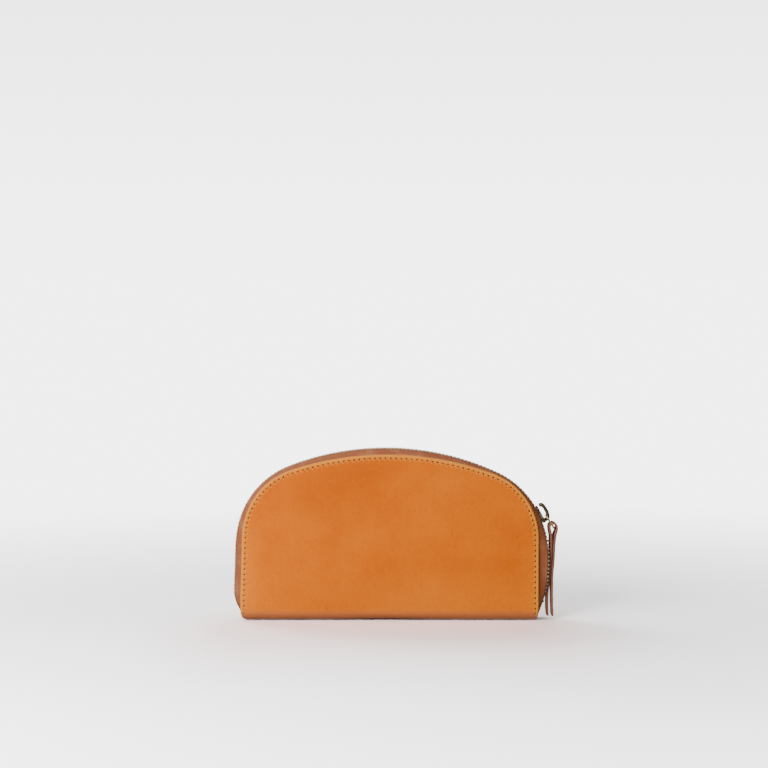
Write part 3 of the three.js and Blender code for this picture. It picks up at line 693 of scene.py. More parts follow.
# The grid inside the cover's border: rows up the panels and over the base, and columns.
PANEL_ROW, BASE_ROWS, PANEL_COLUMNS = 2.6, 46, np.arange(-96, 96, 3.0)
# Broad areas (x, z, half-width, half-height, amount) painted lighter and paler (+, painted light)
# or darker (-, painted shade).
LIGHT_AND_SHADE_PATCHES = [
    (-93, 30, 12, 40, 0.62), (-66, 4, 60, 20, 0.15), (30, 12, 75, 22, 0.42), (94, 30, 10, 50, 0.25),
    (18, 62, 36, 26, 0.18), (-38, 84, 40, 26, -0.55), (38, 92, 30, 18, 0.30),
    (0, 97, 26, 13, -0.35),
]


def build_cover():
    """The cover as one sheet, from the top of the front round the base to the top of the back."""
    base_rows = np.linspace(-CORNER, CORNER, BASE_ROWS)[1:-1]
    arch = [(i * STITCH_PITCH / 2, *PANEL.at(PANEL_FOOT, s)) for i, s in enumerate(PANEL_STATIONS)]
    # Each row is a point, its normal, the distance walked along the seam, and whether it is sewn.
    border = []
    for half in (1, -1):
        border += [(half * half_length_at(v, half), v, half, 0, abs(v) - CORNER, abs(v) > SEAM_FOOT)
                   for v in base_rows[::half]]
        border += [(x, half * (z + CORNER - PANEL_FOOT), nx, half * nz, walked, 1)
                   for walked, (x, z), (nx, nz) in arch[::half]]
    border = np.array(border, float)
    outline, normals, along, seam = border[:, :2], border[:, 2:4], border[:, 4], border[:, 5]
    panel_rows = np.arange(CORNER + PANEL_ROW, np.max(outline[:, 1]), PANEL_ROW)
    rows = np.concatenate([-panel_rows[::-1], base_rows, panel_rows])
    fill, fill_depth = lattice(outline, PANEL_COLUMNS, rows, BORDER[-1] + 1.2)
    points, faces, attributes = double_sheet(
        [outline - normals * d for d in BORDER], BORDER, fill, fill_depth, LEATHER, cover_place,
        {"along_mm": along, "seam": seam},
    )
    attributes["rise_mm"] = points[:, 2]
    # Patches of painted light (+) and painted shade (-) over the cover.
    attributes["patina"] = sum(
        amount * np.exp(-((points[:, 0] - x) / wide) ** 2 - ((points[:, 2] - z) / high) ** 2)
        for x, z, wide, high, amount in LIGHT_AND_SHADE_PATCHES
    )
    piece = make("leather_cover", (points, faces, attributes), TAN, "tan_leather")
    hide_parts("cover_front", "cover_back")
    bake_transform(piece)


# The thread lies a little further in than the middle of its holes.
STITCH_GAP, STITCH_SLANT, THREAD_INSET, THREAD_RADIUS = 0.6, 0.26, 0.22, 0.25


def thread(spot, length, radius, start=0.0):
    """One stitch: a short thread that dips into the leather at both ends.

    spot(t, first, second) is a point beside its middle line in two directions, t being -1 to 1
    along it.
    """
    shares, turns = np.linspace(-1, 1, 9), np.arange(8) * math.pi / 4
    rings = []
    for t in shares:
        swell = radius * math.sqrt(max(1 - abs(t) ** 6, 0.02))
        rings.append([spot(t, math.cos(a) * swell, math.sin(a) * swell) for a in turns])
    marks = {"along_mm": np.repeat(start + shares * length / 2, 8), "across_mm": np.tile(turns, 9)}
    return (*skin(rings), marks)


def build_stitches(half, side):
    """The row of saddle stitches round one panel, from one end of the base to the other."""
    index = np.arange(len(PANEL_STATIONS)) * STITCH_PITCH / 2
    last = index[-1]
    inset = STITCH_INSET + THREAD_INSET
    length, slant = STITCH_PITCH - STITCH_GAP, side * STITCH_SLANT

    def on_line(walk):
        """The stitch line and its outward normal on the flat cover, before or past the arch too."""
        if 0 <= walk <= last:
            (x, z), normal = PANEL.at(PANEL_FOOT, np.interp(walk, index, PANEL_STATIONS))
            return np.array([x, z + CORNER - PANEL_FOOT]) - inset * normal, normal
        v = CORNER + (walk if walk < 0 else last - walk)
        outwards = 1.0 if walk < 0 else -1.0
        reach = half_length_at(v, outwards) - inset
        return np.array([outwards * reach, v]), np.array([outwards, 0.0])

    parts = []
    below = int((CORNER - SEAM_FOOT) / STITCH_PITCH)
    for k in range(-below, int(round(last / STITCH_PITCH)) + below):
        walk = (k + 0.5) * STITCH_PITCH

        def spot(t, out, up):
            middle, normal = on_line(walk + t * length / 2)
            u, v = middle + normal * (slant * t + out)
            depth = 0.34 * t * t - 0.10 - up
            return cover_place(np.array([u]), np.array([side * v]), np.array([depth]))[0]

        parts.append(thread(spot, length, THREAD_RADIUS, walk))
    make(f"stitches_{half}", merged(parts), THREAD, "tan_leather", f"{half}_half")


# ---- Main zip ----

ZIP_FOOT = 8.5
TAPE_FOOT, TAPE_STEP = 4.0, 1.8
TAPE = 0.6
# A cord thickens the tape's free edge.
CORD, CORD_WIDTH = 0.28, 0.8
# The tapes end beside the teeth, and close up below the stops, between these heights.
TAPE_CLOSE, TAPE_OPEN = 7.0, 11.0
TEETH_SLOT = 0.65
TEETH_WIDTH = 1.95
TOOTH_PITCH = 2.5
TEETH_LINE = ZIP.inset(1.2)
CHAIN_FIRST, CHAIN_LAST = 0.16, 4.84
# On the right, the two rows of teeth part by up to so much below this height.
PARTED, PARTED_TOP = 5.0, 58.0
# Just below it, each half of the zip bulges outwards by so much, over such a length.
BELLY, BELLY_LENGTH = {-1: 0.85, 1: 0.3}, 34.0
# Where the zip curls in at its feet: below a height, by a factor and a power of the distance.
TUCK_RIGHT, TUCK_LEFT = (26.0, 0.0274, 1.68), (18.0, 0.0324, 1.88)


def zip_station(station, foot=ZIP_FOOT, side=-1):
    """The leather's edge, the middle of the teeth, their normals and how far the halves part."""
    edge, edge_normal = PANEL.at(foot, station)
    teeth, normal = TEETH_LINE.at(foot, station)
    height, right = teeth[1], teeth[0] > 0
    below, factor, power = TUCK_RIGHT if right else TUCK_LEFT
    tucked = factor * max(below - height, 0) ** power
    belly = parted = 0.0
    if right and height < PARTED_TOP:
        share = (PARTED_TOP - height) / (PARTED_TOP - ZIP_FOOT)
        parted = PARTED * max(math.sin(math.pi * min(share, 1)), 0)
        share = min((PARTED_TOP - height) / BELLY_LENGTH, 1)
        belly = BELLY[side] * math.sin(math.pi * share)
    teeth = teeth + normal * (belly - tucked)
    edge = edge - edge_normal * tucked * 0.35
    return edge, edge_normal, teeth, normal, parted


def build_tape(half, side):
    stations, step = along_arch(lambda s: zip_station(s, TAPE_FOOT)[2], TAPE_STEP)
    rings, along, across = [], [], []
    for index, station in enumerate(stations):
        edge, edge_normal, teeth, normal, parted = zip_station(station, TAPE_FOOT, side)
        opened = smoothstep(teeth[1], TAPE_CLOSE, TAPE_OPEN)
        start = TEETH_SLOT + 0.3 + TEETH_WIDTH * opened
        proud = 0.45 * parted / PARTED
        under = (FOLD_RADIUS - LEATHER) ** 2 - max(FOLD_RADIUS - edge[1], 0) ** 2
        seam_y = BASE_FLAT + math.sqrt(under) - 0.3 - TAPE / 2

        def spot(share, outwards, y):
            flat = edge + (teeth - edge) * share
            flat = flat + (normal * share + edge_normal * (1 - share)) * outwards
            return (flat[0], side * y, flat[1])

        ripple = 0.16 * noise.noise(Vector((index * 0.21, side * 5.0, 0)))
        line = curve([
            spot(1, -proud, start - 0.5 + parted),
            spot(1, 0.1 - proud, start + 1.7 + parted * 0.8),
            spot(0.72, 0.2 + ripple, min(start + 4.0 + parted * 0.35, seam_y - 1.6)),
            spot(0.12, 0.1 + ripple, seam_y - 0.8),
            spot(0, -1.4, seam_y), spot(0, -7, seam_y),
        ], 22)
        walked = lengths(line)
        run = np.gradient(line, axis=0)
        out3 = np.array([normal[0], 0, normal[1]])
        radial, cross = run @ out3, run[:, 1] * side
        lift = unit(out3 * cross[:, None] - np.array([0, side, 0]) * radial[:, None])
        lift *= (TAPE / 2 + CORD * np.exp(-(walked / CORD_WIDTH) ** 2))[:, None]
        rings.append(np.vstack([line + lift, (line - lift)[::-1]]))
        along.append(np.full(2 * len(line), index * step))
        across.append(np.concatenate([walked, walked[::-1]]))
    marks = {"along_mm": np.concatenate(along), "across_mm": np.concatenate(across)}
    make(f"tape_{half}", (*skin(rings), marks), TAPE_CLOTH, "zip_tape",
         f"{half}_half", f"zip_tape_{half}")


# Half-widths of a tooth along the zip and outwards, at distances from the middle of the zip.
TOOTH_SECTIONS = [
    (2.72, 0.42, 0.70), (2.58, 0.64, 0.94), (1.25, 0.70, 1.02), (0.98, 0.66, 0.96),
    (0.80, 0.44, 0.74), (0.15, 0.42, 0.70), (-0.28, 0.46, 0.72), (-0.50, 0.32, 0.52),
]
# Each corner of a tooth is cut off beyond this share of its side.
TOOTH_CUT = 0.66


def tooth_rings(spot, tangent, normal, side, shift, sections=TOOTH_SECTIONS):
    """A tooth clamped over the tape's cord, with its head reaching past the middle."""
    rings = []
    for y, wide, high in sections:
        ring = []
        for a, b in ((1, -1), (1, 1), (-1, 1), (-1, -1)):
            pair = [(a * wide, b * high * TOOTH_CUT), (a * wide * TOOTH_CUT, b * high)]
            ring.extend(pair if a * b > 0 else pair[::-1])
        flat = [np.add(spot, np.multiply(tangent, t) + np.multiply(normal, n)) for t, n in ring]
        rings.append([(x, side * (y + shift), z) for x, z in flat])
    return rings


def build_teeth(half, side):
    stations, _ = along_arch(lambda s: zip_station(s)[2], TOOTH_PITCH / 2, CHAIN_FIRST, CHAIN_LAST)
    parts = []
    # The teeth of the two rows take turns along the arch.
    for station in stations[1 if side < 0 else 2:-1:2]:
        _, _, teeth, normal, parted = zip_station(station, side=side)
        tangent = (-normal[1], normal[0])
        parts.append(skin(tooth_rings(teeth, tangent, normal, side, parted)))
    make(f"teeth_{half}", merged(parts), TOOTH, "tooth_brass",
         f"{half}_half", f"zip_chain_{half}", smooth=False)


build_cover()
for half_name, half_side in HALVES:
    build_stitches(half_name, half_side)
    build_tape(half_name, half_side)
    build_teeth(half_name, half_side)


# ---- Slabs, wires and ribbons ----


def slab(outline, thickness, edge, place, steps=4):
    """A flat plate with rounded edges; place(u, v, w) puts its points in space."""
    normals = outline_normals(outline)
    profile = []
    for t in np.linspace(0, math.pi / 2, steps + 1):
        profile.append((edge * (1 - math.sin(t)), -thickness / 2 + edge * (1 - math.cos(t))))
    profile += [(inset, -height) for inset, height in profile[::-1]]
    return skin([[place(u, v, height) for u, v in outline - normals * inset]
                 for inset, height in profile])


def wire(path, radius, sides):
    """A round wire that closes on itself, along a path that lies in a plane."""
    path = np.asarray(path, float)
    run = unit(np.roll(path, -1, 0) - np.roll(path, 1, 0))
    flat = np.cross(path[len(path) // 3] - path[0], path[len(path) // 2] - path[0])
    flat /= np.linalg.norm(flat)
    turns = np.arange(sides) * 2 * math.pi / sides
    return skin([[point + radius * (math.cos(a) * flat + math.sin(a) * across) for a in turns]
                 for point, across in zip(path, np.cross(flat, run))], closed=True)


def band(line, section, frame_of):
    """Sweeps a section of (out, across) points along a line of (a, b) points in a plane."""
    shares = np.linspace(0, 1, len(line))
    return skin([[frame_of(point + out * o, w) for o, w in section(share)]
                 for share, point, out in zip(shares, line, right_of(directions(line)))])


def rounded_section(thickness, width, edge, steps=3, rows=6):
    """A flat strip's section: (out, across) points with rounded corners."""
    corners = [(thickness / 2, width / 2), (-thickness / 2, width / 2),
               (-thickness / 2, -width / 2), (thickness / 2, -width / 2)]
    return spaced(rounded_outline(corners, edge, steps), width / rows)


# ---- Slider, ring and strap ----

JOINTS = {joint["name"]: joint for joint in frame["joints"]}


def joint_place(name):
    """A joint's (x, z) in millimetres."""
    x, _, z = JOINTS[name]["pos_m"]
    return np.array([x, z]) / MM


# The slider follows the teeth where it stands, and the ring hangs at an angle of its own.
SLIDER_TURN = math.radians(28.6)
OUTWARD = np.array([math.cos(SLIDER_TURN), math.sin(SLIDER_TURN)])
UPWARD = np.array([-OUTWARD[1], OUTWARD[0]])
RING_LEAN = math.radians(32.6)
SLIDER_PLACE = joint_place("ring_swing") - 2.5 * OUTWARD + 2.6 * UPWARD


def slider_point(out, width, up):
    """The slider's own frame: out from the teeth, across the zip, and up along it."""
    x, z = SLIDER_PLACE + out * OUTWARD + up * UPWARD
    return (x, width, z)


def slider_outline(length, width):
    """A slider plate, wide at the nose and narrow at the tail, as (across, up) points."""
    nose, tail, end = width / 2, width * 0.38, length / 2
    right = [(nose * 0.62, -end), (nose * 0.9, -end * 0.9), (nose, -end * 0.55),
             (nose * 0.97, -end * 0.25), (tail * 1.06, end * 0.1), (tail, end * 0.5),
             (tail * 0.92, end * 0.85), (tail * 0.6, end)]
    half = curve(right, 26)
    return np.vstack([half, half[::-1] * (-1, 1)])


# Each plate's length and width, how far out it lies, and its thickness.
SLIDER_PLATES = ((11.8, 8.4, 0.0, 1.2), (9.2, 7.4, -4.5, 1.0))
# How far out each rail lies, its height, and where it starts and ends on the plate's outline.
SLIDER_RAILS = ((-0.75, 1.0, 2), (-3.75, 0.8, 5))
HOOK_LINE = [(0.5, -4.6), (2.0, -4.5), (3.35, -3.5), (3.95, -1.6), (4.15, 0.6), (4.05, 2.5),
             (3.7, 4.1), (2.9, 5.15), (1.6, 5.45)]


def build_slider():
    parts = []
    for length, width, out, thick in SLIDER_PLATES:
        parts.append(slab(slider_outline(length, width), thick, 0.42,
                          lambda u, v, w, out=out: slider_point(out + w, u, v)))
    # Two rails on each side guide the tapes.
    rail = slider_outline(*SLIDER_PLATES[0][:2])[:26] - (0.45, 0)
    for sign in (-1, 1):
        for out, reach, first in SLIDER_RAILS:
            line = rail[first:-first]
            rings = []
            for k, ((u, v), (du, dv)) in enumerate(zip(line, directions(line))):
                taper = math.sin(math.pi * (k + 0.8) / (len(line) + 0.6)) ** 0.25
                ring = []
                for a in np.arange(8) * math.pi / 4 + math.pi / 8:
                    side_out = 0.42 * math.cos(a) * taper
                    ring.append(slider_point(out + reach * math.sin(a) * 0.72 * taper,
                                             sign * (u + dv * side_out), v - du * side_out))
                rings.append(ring)
            parts.append(skin(rings))
    post = rounded_outline(oblong(-0.4, -1.3, 0.4, 1.3), 0.25, 3)
    parts.append(slab(post, 4.0, 0.1, lambda u, v, w: slider_point(-2.3 + w, u, v - 2.6)))
    plain = rounded_section(2.25, 2.8, 0.7, 3, 4)

    def section(share):
        wide = 1 + 0.35 * max(1 - share / 0.2, 0) ** 1.5 - 0.2 * smoothstep(share, 0.9, 1.0)
        blunt = 1 + 0.15 * smoothstep(share, 0.7, 0.9) - 0.40 * smoothstep(share, 0.95, 1.0)
        return plain * (blunt, wide)

    parts.append(band(curve(HOOK_LINE, 44), section,
                      lambda flat, w: slider_point(flat[0], w, flat[1])))
    make("slider", merged(parts), BRASS, "antique_brass", "zip_slider", "slider_body")


RING_HALF_WIDTH, RING_LENGTH, RING_WIRE = 5.25, 8.8, 0.64


def build_ring():
    centre = joint_place("ring_swing")
    outline = rounded_outline(oblong(-RING_HALF_WIDTH, -RING_LENGTH, RING_HALF_WIDTH, 0), 1.9, 10)
    outline = resample(np.vstack([outline, outline[:1]]), 73)[:-1]
    path = [(centre[0] - v * math.sin(RING_LEAN), u, centre[1] + v * math.cos(RING_LEAN))
            for u, v in outline]
    make("ring_wire", wire(path, RING_WIRE, 14), GOLD, "antique_brass", "ring", "pull_ring")


# Points of the strap's middle line from the ring's lower bar, and its twist there in degrees.
STRAP_LINE = [
    (-3.9, -56.2, 1.0), (-4.2, -50.3, 1.5), (-4.2, -44.3, 2.0), (-3.85, -38.3, 2.5),
    (-2.95, -30.0, 3.0), (-2.3, -20.3, 4.0), (-2.0, -11.3, 5.0), (-2.1, -5.2, 4.5),
    (-2.95, -0.3, 4.0), (-2.6, 2.1, 2.5), (-1.25, 2.95, 1.0), (0.4, 2.65, 0.0), (1.65, 1.1, -1.0),
    (1.7, -1.3, -3.0), (0.55, -4.7, -7.0), (-0.15, -11.3, -6.0), (-0.45, -20.3, -4.5),
    (-1.2, -30.0, -3.4), (-1.3, -36.3, -3.0), (-1.2, -46.0, -1.3), (-1.05, -51.6, -1.0),
    (-0.8, -56.4, -0.8),
]
STRAP_WIDTH = 9.0
STRAP_LEATHER = 1.5
# The rows lie at these heights, with a stitch at each of these places across the strap.
STRAP_STITCH_ROWS, STRAP_STITCH_PLACES, STRAP_STITCH = (-8.6, -13.4), (-2.6, 0.0, 2.6), 2.1


def build_strap():
    centre = joint_place("strap_swing")
    line = curve(STRAP_LINE, 160)
    twist = np.radians(line[:, 2])
    line = line[:, :2]
    run = directions(line)
    inwards = right_of(run)
    section = rounded_section(STRAP_LEATHER, STRAP_WIDTH, 0.42, 4, 12)

    def on_strap(index, out, across, ahead=0.0):
        """A point out from the strap's middle line, across its width and ahead along it."""
        cos, sin = math.cos(twist[index]), math.sin(twist[index])
        x, z = (centre + line[index] + inwards[index] * (out * cos - across * sin)
                + run[index] * ahead)
        return np.array([x, out * sin + across * cos, z])

    rings = []
    for index, share in enumerate(np.linspace(0, 1, len(line))):
        end = min(share, 1 - share) * 2 * 60
        thin = 1 - 0.3 * max(1 - end / 0.8, 0) ** 2
        narrow = 1 - 0.16 * max(1 - end / 1.6, 0) ** 2
        rings.append([on_strap(index, o * thin, w * narrow) for o, w in section])
    sideways = np.abs(section[:, 0]) < STRAP_LEATHER / 2 - 0.05
    edge = np.where(sideways, 0.0, STRAP_WIDTH / 2 - np.abs(section[:, 1]))
    make("strap_leather", (*skin(rings), {"edge_mm": np.tile(edge, len(line))}), PULL,
         "pull_leather", "strap", "pull_strap")

    # Two short rows of stitches hold the tails together under the ring.
    parts = []
    middle, length = len(line) // 2, STRAP_STITCH
    for start, tail in ((0, line[:middle]), (middle, line[middle:])):
        for z in STRAP_STITCH_ROWS:
            index = start + int(np.argmin(np.abs(tail[:, 1] - z)))
            for across in STRAP_STITCH_PLACES:
                def spot(t, up, ahead):
                    out = 0.34 * t * t - 0.12 - STRAP_LEATHER / 2 - up
                    return on_strap(index, out, across + t * length / 2, ahead)

                parts.append(thread(spot, length, 0.26))
    make("strap_stitches", merged(parts), THREAD, "pull_leather", "strap")


def build_stop(name, body):
    """A metal stop clenched round the end of the teeth."""
    low, high = cad_box(name)
    middle, size = (low + high) / 2, (high - low) / 2
    outline = rounded_outline(oblong(-size[0], -size[2], size[0], size[2]), 0.7, 5)
    plate = slab(outline, 2 * size[1], 0.5, lambda u, v, w: middle + (u, w, v), 5)
    make(name + "_metal", plate, BRASS, "antique_brass", body, name)


build_slider()
build_ring()
build_strap()
build_stop("zip_bottom_stop", "back_half")
build_stop("zip_top_stop_front", "front_half")
build_stop("zip_top_stop_back", "back_half")


# ---- Inside ----

LINING = (LINING_CLOTH, "lining_cloth")
SHEET_BORDER = (0, 0.06, 0.18, 0.6, 1.6, 2.4, 3.2)


def cut_sheet(name, outline, thickness, place, look, spacing, rows, body=None, node=None,
              sewn=False, boxy=True):
    """A piece cut from an outline, with stitches marked all round it if it is sewn.

    A boxy outline has sharp corners, so the loops inside it are scaled copies.
    """
    pitch = STITCH_PITCH / 2
    loop = np.vstack([outline, outline[:1]])
    count = int(round(lengths(loop)[-1] / pitch / 2)) * 2
    outline = resample(loop, count + 1)[:-1]
    marks = {"along_mm": np.arange(count) * pitch, "seam": np.ones(count)} if sewn else None
    offsets = SHEET_BORDER
    low, high = outline.min(0), outline.max(0)
    middle, size = (low + high) / 2, (high - low) / 2
    if boxy:
        offsets = [d for d in offsets if d < 0.45 * min(size)]
        loops = [middle + (outline - middle) * (1 - d / size) for d in offsets]
    else:
        loops = [outline - outline_normals(outline) * d for d in offsets]
    fill, depth = lattice(outline, np.arange(low[0] + 1, high[0], spacing),
                          np.arange(low[1] + 1, high[1], rows), offsets[-1] + spacing * 0.35)
    shape = double_sheet(loops, offsets, fill, depth, thickness, place, marks)
    return make(name, shape, *look, body, node)


def upright(node, outer_side, wave=0.08):
    """Places a sheet upright where a CAD sheet is, its outer face towards outer_side in y."""
    low, high = cad_box(node)
    face = high[1] if outer_side > 0 else low[1]

    def place(u, v, depth):
        still = np.full(np.shape(u), face)
        y = face - outer_side * depth + wave * wander(u, still, v, 24, 7.0)
        return np.stack([u, y, v], 1)

    return place


def moon(arch, foot, corner):
    """The closed outline of an arch with a straight foot and rounded corners."""
    def at(station):
        return arch.at(foot + corner, station)[0]

    over = np.array([at(s) for s in along_arch(at, 1.5)[0]])
    right, left = over[0][0], over[-1][0]
    turns = np.linspace(0, math.pi / 2, 6)
    far, near = corner * (1 - np.cos(turns)), foot + corner * (1 - np.sin(turns))
    start = np.stack([left + far, near], 1)[1:]
    end = np.stack([right - far, near], 1)[:0:-1]
    return np.vstack([over, start, end])


def build_linings():
    outline = moon(PANEL.inset(3.0), 5.5, 4.0)
    for half, side in HALVES:
        node = f"lining_{half}"
        cut_sheet(node + "_cloth", outline, 0.5, upright(node, side), LINING, 6.0, 6.0,
                  f"{half}_half", node, boxy=False)


def pocket_outline(node, dip):
    """A pocket sheet whose upper edge dips in the middle."""
    low, high = cad_box(node)
    half, foot, top = high[0], low[2], high[2]
    upper = [(half * (1 - 2 * t), top - dip * math.sin(math.pi * t) ** 0.8)
             for t in np.linspace(0.03, 0.97, 40)]
    corners = [(-half, top - 1.0), (-half, foot), (half, foot), (half, top - 1.0)]
    return spaced(np.vstack([upper, corners]), 2.0)


def build_pockets():
    slots = [(f"card_slot_{tier}", 2.5, 1, "back_half") for tier in ("upper", "middle", "lower")]
    for node, dip, side, body in (*slots, ("slip_pocket", 6.0, -1, "front_half")):
        cut_sheet(node + "_leather", pocket_outline(node, dip), 0.5, upright(node, side, 0.06),
                  (INNER_SEWN, "lining_leather"), 5.0, 5.0, body, node, sewn=True)


def folded(points, count=240):
    """A smooth line through (a, b) points that can be read with its normal at any distance."""
    line = curve(points, count)
    walked = lengths(line)
    columns = (*line.T, *right_of(directions(line)).T)

    def at(distance, depth):
        a, b, normal_a, normal_b = (np.interp(distance, walked, column) for column in columns)
        return a - normal_a * depth, b - normal_b * depth

    return at, walked[-1]


def build_gussets():
    for name, sign in (("left", -1), ("right", 1)):
        node = f"gusset_{name}"
        low, high = cad_box(node)
        reach, foot, top = high[1], low[2], high[2]
        tip, outer = sorted((abs(low[0]), abs(high[0])))
        at, length = folded([
            (outer, -reach), (outer - 5, -reach * 0.80), (tip + 4, -reach * 0.24), (tip + 0.6, 0),
            (tip + 4, reach * 0.24), (outer - 5, reach * 0.80), (outer, reach),
        ])
        upper = [(length * t, top - 2.5 * math.sin(math.pi * t)) for t in np.linspace(1, 0, 30)]
        outline = spaced(np.vstack([upper, [(0, foot), (length, foot)]]), 2.0)

        def place(u, v, depth):
            x, y = at(u, depth)
            x = x + 0.5 * np.sin(v / 5.2) * np.sin(np.pi * u / length) ** 2
            return np.stack([sign * x, y, v], 1)

        piece = cut_sheet(node + "_cloth", outline, 0.5, place, LINING, 2.5, 3.0, node=node)
        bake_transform(piece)


def build_base_lining():
    at, length = folded([(-9.0, 9.2), (-8.9, 6.4), (-7.8, 4.4), (-4.6, 3.3), (0, 3.05),
                         (4.6, 3.3), (7.8, 4.4), (8.9, 6.4), (9.0, 9.2)])
    half = BASE_HALF_LENGTH - 3.5
    outline = spaced(oblong(-half, 0, half, length), 2.0)

    def place(u, v, depth):
        return np.stack([u, *at(v, -depth)], 1)

    piece = cut_sheet("base_lining", outline, 0.4, place, LINING, 6.0, 1.5)
    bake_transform(piece)


def build_coin_pocket():
    low, high = cad_box("coin_pocket_bag")
    half, deep, foot, top = high[0], high[1], low[2], high[2]
    straight = top - foot - deep
    length = 2 * (straight + math.pi * deep / 2)

    def place(u, v, depth):
        plump = 0.14 + 0.86 * np.sqrt(np.clip(1 - np.abs(u / half) ** 7, 0, 1))
        from_top = np.minimum(v, length - v)
        side = np.where(v < length / 2, -1.0, 1.0)
        turn = np.clip((from_top - straight) / deep, 0, math.pi / 2)
        reach = (deep - depth) * np.cos(turn)
        sag = 0.25 * wander(u, side * 9, v, 20, 11.0) * np.clip(from_top / 12, 0, 1)
        y = side * np.minimum(reach * plump + sag * (plump - 0.14), deep + 0.3)
        z = top - np.minimum(from_top, straight) - (deep - depth) * np.sin(turn)
        return np.stack([u, y, z], 1)

    cut_sheet("coin_bag", spaced(oblong(-half, 0, half, length), 2.0), 0.6, place, LINING,
              4.0, 1.6, "coin_pocket", "coin_pocket_bag")


def build_coin_zip():
    deep = cad_box("coin_pocket_bag")[1][1]
    for name, side in HALVES:
        low, high = cad_box(f"coin_tape_{name}")
        near = deep - 0.3
        at, span = folded([(side * near, low[2] + 0.1), (side * (deep + 0.05), low[2] + 2.0),
                           (side * 2.5, high[2] - 1.3), (side * 2.0, high[2] - 0.1)])

        def place(u, v, depth, side=side, at=at):
            return np.stack([u, *at(v, side * (depth - 0.2))], 1)

        outline = spaced(oblong(low[0], 0, high[0], span), 2.0)
        cut_sheet(f"coin_tape_{name}_woven", outline, 0.4, place, (TAPE_CLOTH, "zip_tape"),
                  6.0, 1.0, "coin_pocket", f"coin_tape_{name}")

        low, high = cad_box(f"coin_chain_{name}")
        height = (low[2] + high[2]) / 2
        stagger = COIN_PITCH / 2 if side > 0 else 0
        teeth = [skin(tooth_rings((x, height), (1, 0), (0, 1), side, 0.0, COIN_SECTIONS))
                 for x in np.arange(low[0] + 0.6, high[0] - 0.5, COIN_PITCH) + stagger]
        make(f"coin_teeth_{name}", merged(teeth), TOOTH, "tooth_brass",
             "coin_pocket", f"coin_chain_{name}", smooth=False)


# Half-widths of a small tooth, at distances from the middle of the coin zip.
COIN_PITCH = 2.0
COIN_SECTIONS = [
    (1.46, 0.30, 0.48), (1.38, 0.46, 0.62), (0.58, 0.50, 0.68), (0.42, 0.36, 0.50),
    (-0.22, 0.34, 0.48), (-0.36, 0.24, 0.34),
]

build_linings()
build_pockets()
build_gussets()
build_base_lining()
build_coin_pocket()
build_coin_zip()


# ---- Carried-over CAD nodes ----

for node, material in {
    "base_stiffener": FELT, "filler_front": FELT, "filler_back": FELT,
    "coin_slider_body": BRASS, "coin_pull_tab": GOLD,
}.items():
    carried = frame["nodes"][node]
    carried.data.materials.clear()
    carried.data.materials.append(material)


# ---- Stage and light ----

STUDIO_WHITE = (1.0, 0.985, 1.0, 1)
BACKDROP = 5.2
AMBIENT = 0.12
FLOOR_RADIUS, FLOOR_SIDES, FLOOR_LEVEL = 8.0, 96, -0.0002
FLOOR_BOUNCE = 0.35
FLOOR_GAIN = 2.4
# The floor just in front of the leather is painted darker and warmer by this tint: painted shade
# and bounced light.
FLOOR_PAINTED_WARM_SHADE = (0.84, 0.71, 0.70)
LIGHT_TARGET = Vector((0, 0, 0.06))


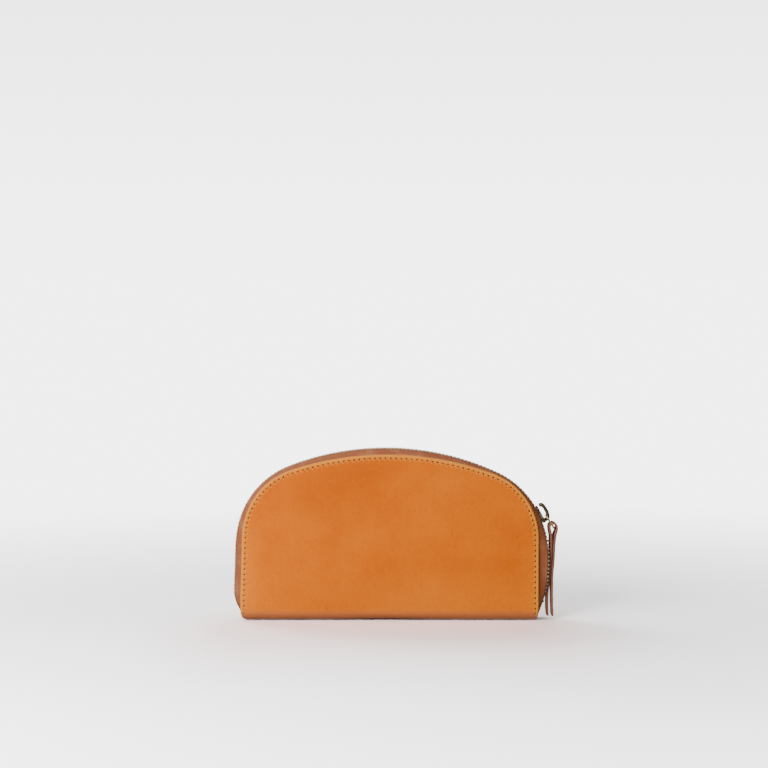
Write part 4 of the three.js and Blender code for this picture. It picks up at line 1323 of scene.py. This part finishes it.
def build_stage():
    floor = bpy.data.meshes.new("floor")
    ring = [(FLOOR_RADIUS * math.cos(a), FLOOR_RADIUS * math.sin(a), FLOOR_LEVEL)
            for a in np.arange(FLOOR_SIDES) * 2 * math.pi / FLOOR_SIDES]
    floor.from_pydata(ring, [], [list(range(FLOOR_SIDES))])
    paint = Paint("floor", Roughness=0.95, Emission_Color=STUDIO_WHITE, Specular_IOR_Level=0.0)
    seen = paint.node("LightPath", {}).outputs["Is Camera Ray"]
    away = paint.node("VectorMath", {0: paint.where(1 / MM)}, operation="LENGTH").outputs["Value"]
    distant = paint.times(seen, paint.between(away, 0.12, 0.9))
    # Painted shade and painted light bounced off the leather: the floor just in front of it is
    # painted darker and warmer.
    split = paint.node("SeparateXYZ", {0: paint.where(1 / MM)})
    ahead = paint.between(split.outputs["Y"], -0.32, -0.03)
    behind = paint.between(split.outputs["Y"], 0.06, -0.03)
    beside = paint.between(paint.maths("ABSOLUTE", split.outputs["X"]), 0.17, 0.08)
    warm = paint.times(paint.times(ahead, behind), beside)
    warmed = paint.mix(warm, (FLOOR_GAIN,) * 3 + (1,),
                       tuple(FLOOR_GAIN * v for v in FLOOR_PAINTED_WARM_SHADE) + (1,))
    near = paint.mix(seen, (FLOOR_BOUNCE,) * 3 + (1,), warmed)
    paint.set(Base_Color=paint.mix(distant, near, (0, 0, 0, 1)),
              Emission_Strength=paint.times(distant, BACKDROP))
    floor.materials.append(paint.material)
    piece = bpy.data.objects.new("floor", floor)
    bpy.context.scene.collection.objects.link(piece)

    # The camera sees a backdrop that fades upwards, and everything else sees a dim room.
    world = bpy.data.worlds.new("studio")
    world.use_nodes = True
    bpy.context.scene.world = world
    sky = Nodes(world.node_tree)
    height = sky.node("SeparateXYZ", {0: sky.node("TexCoord", {}).outputs["Generated"]})
    fade = sky.node("MapRange", {0: height.outputs["Z"], 1: -0.01, 2: 0.11,
                                 3: BACKDROP, 4: BACKDROP * 0.72}).outputs[0]
    seen = sky.node("LightPath", {}).outputs["Is Camera Ray"]
    background = world.node_tree.nodes["Background"].inputs
    strength = sky.node("MapRange", {0: seen, 3: AMBIENT, 4: fade}).outputs[0]
    sky.feed(background["Strength"], strength)
    sky.feed(background["Color"], STUDIO_WHITE)


def build_light(name, position, size, power, colour=(1, 1, 1)):
    data = bpy.data.lights.new(name, "AREA")
    data.shape = "DISK"
    data.size = size
    data.energy = power
    data.color = colour
    lamp = bpy.data.objects.new(name, data)
    bpy.context.scene.collection.objects.link(lamp)
    lamp.location = position
    lamp.rotation_mode = "QUATERNION"
    lamp.rotation_quaternion = (LIGHT_TARGET - Vector(position)).to_track_quat("-Z", "Y")


build_stage()
build_light("key", (-0.50, -1.10, 0.50), 0.55, 12.5, (1.0, 0.99, 0.97))
build_light("near_left", (-0.45, -0.45, 0.35), 0.30, 2.1)
build_light("fill", (0.9, -1.4, 0.9), 1.2, 1.2)
build_light("right", (1.3, -0.1, 0.6), 0.9, 2.8)
build_light("back", (0.1, 1.1, 1.1), 0.9, 5.6)
build_light("back_left", (-0.8, 0.9, 0.9), 0.7, 9.5)
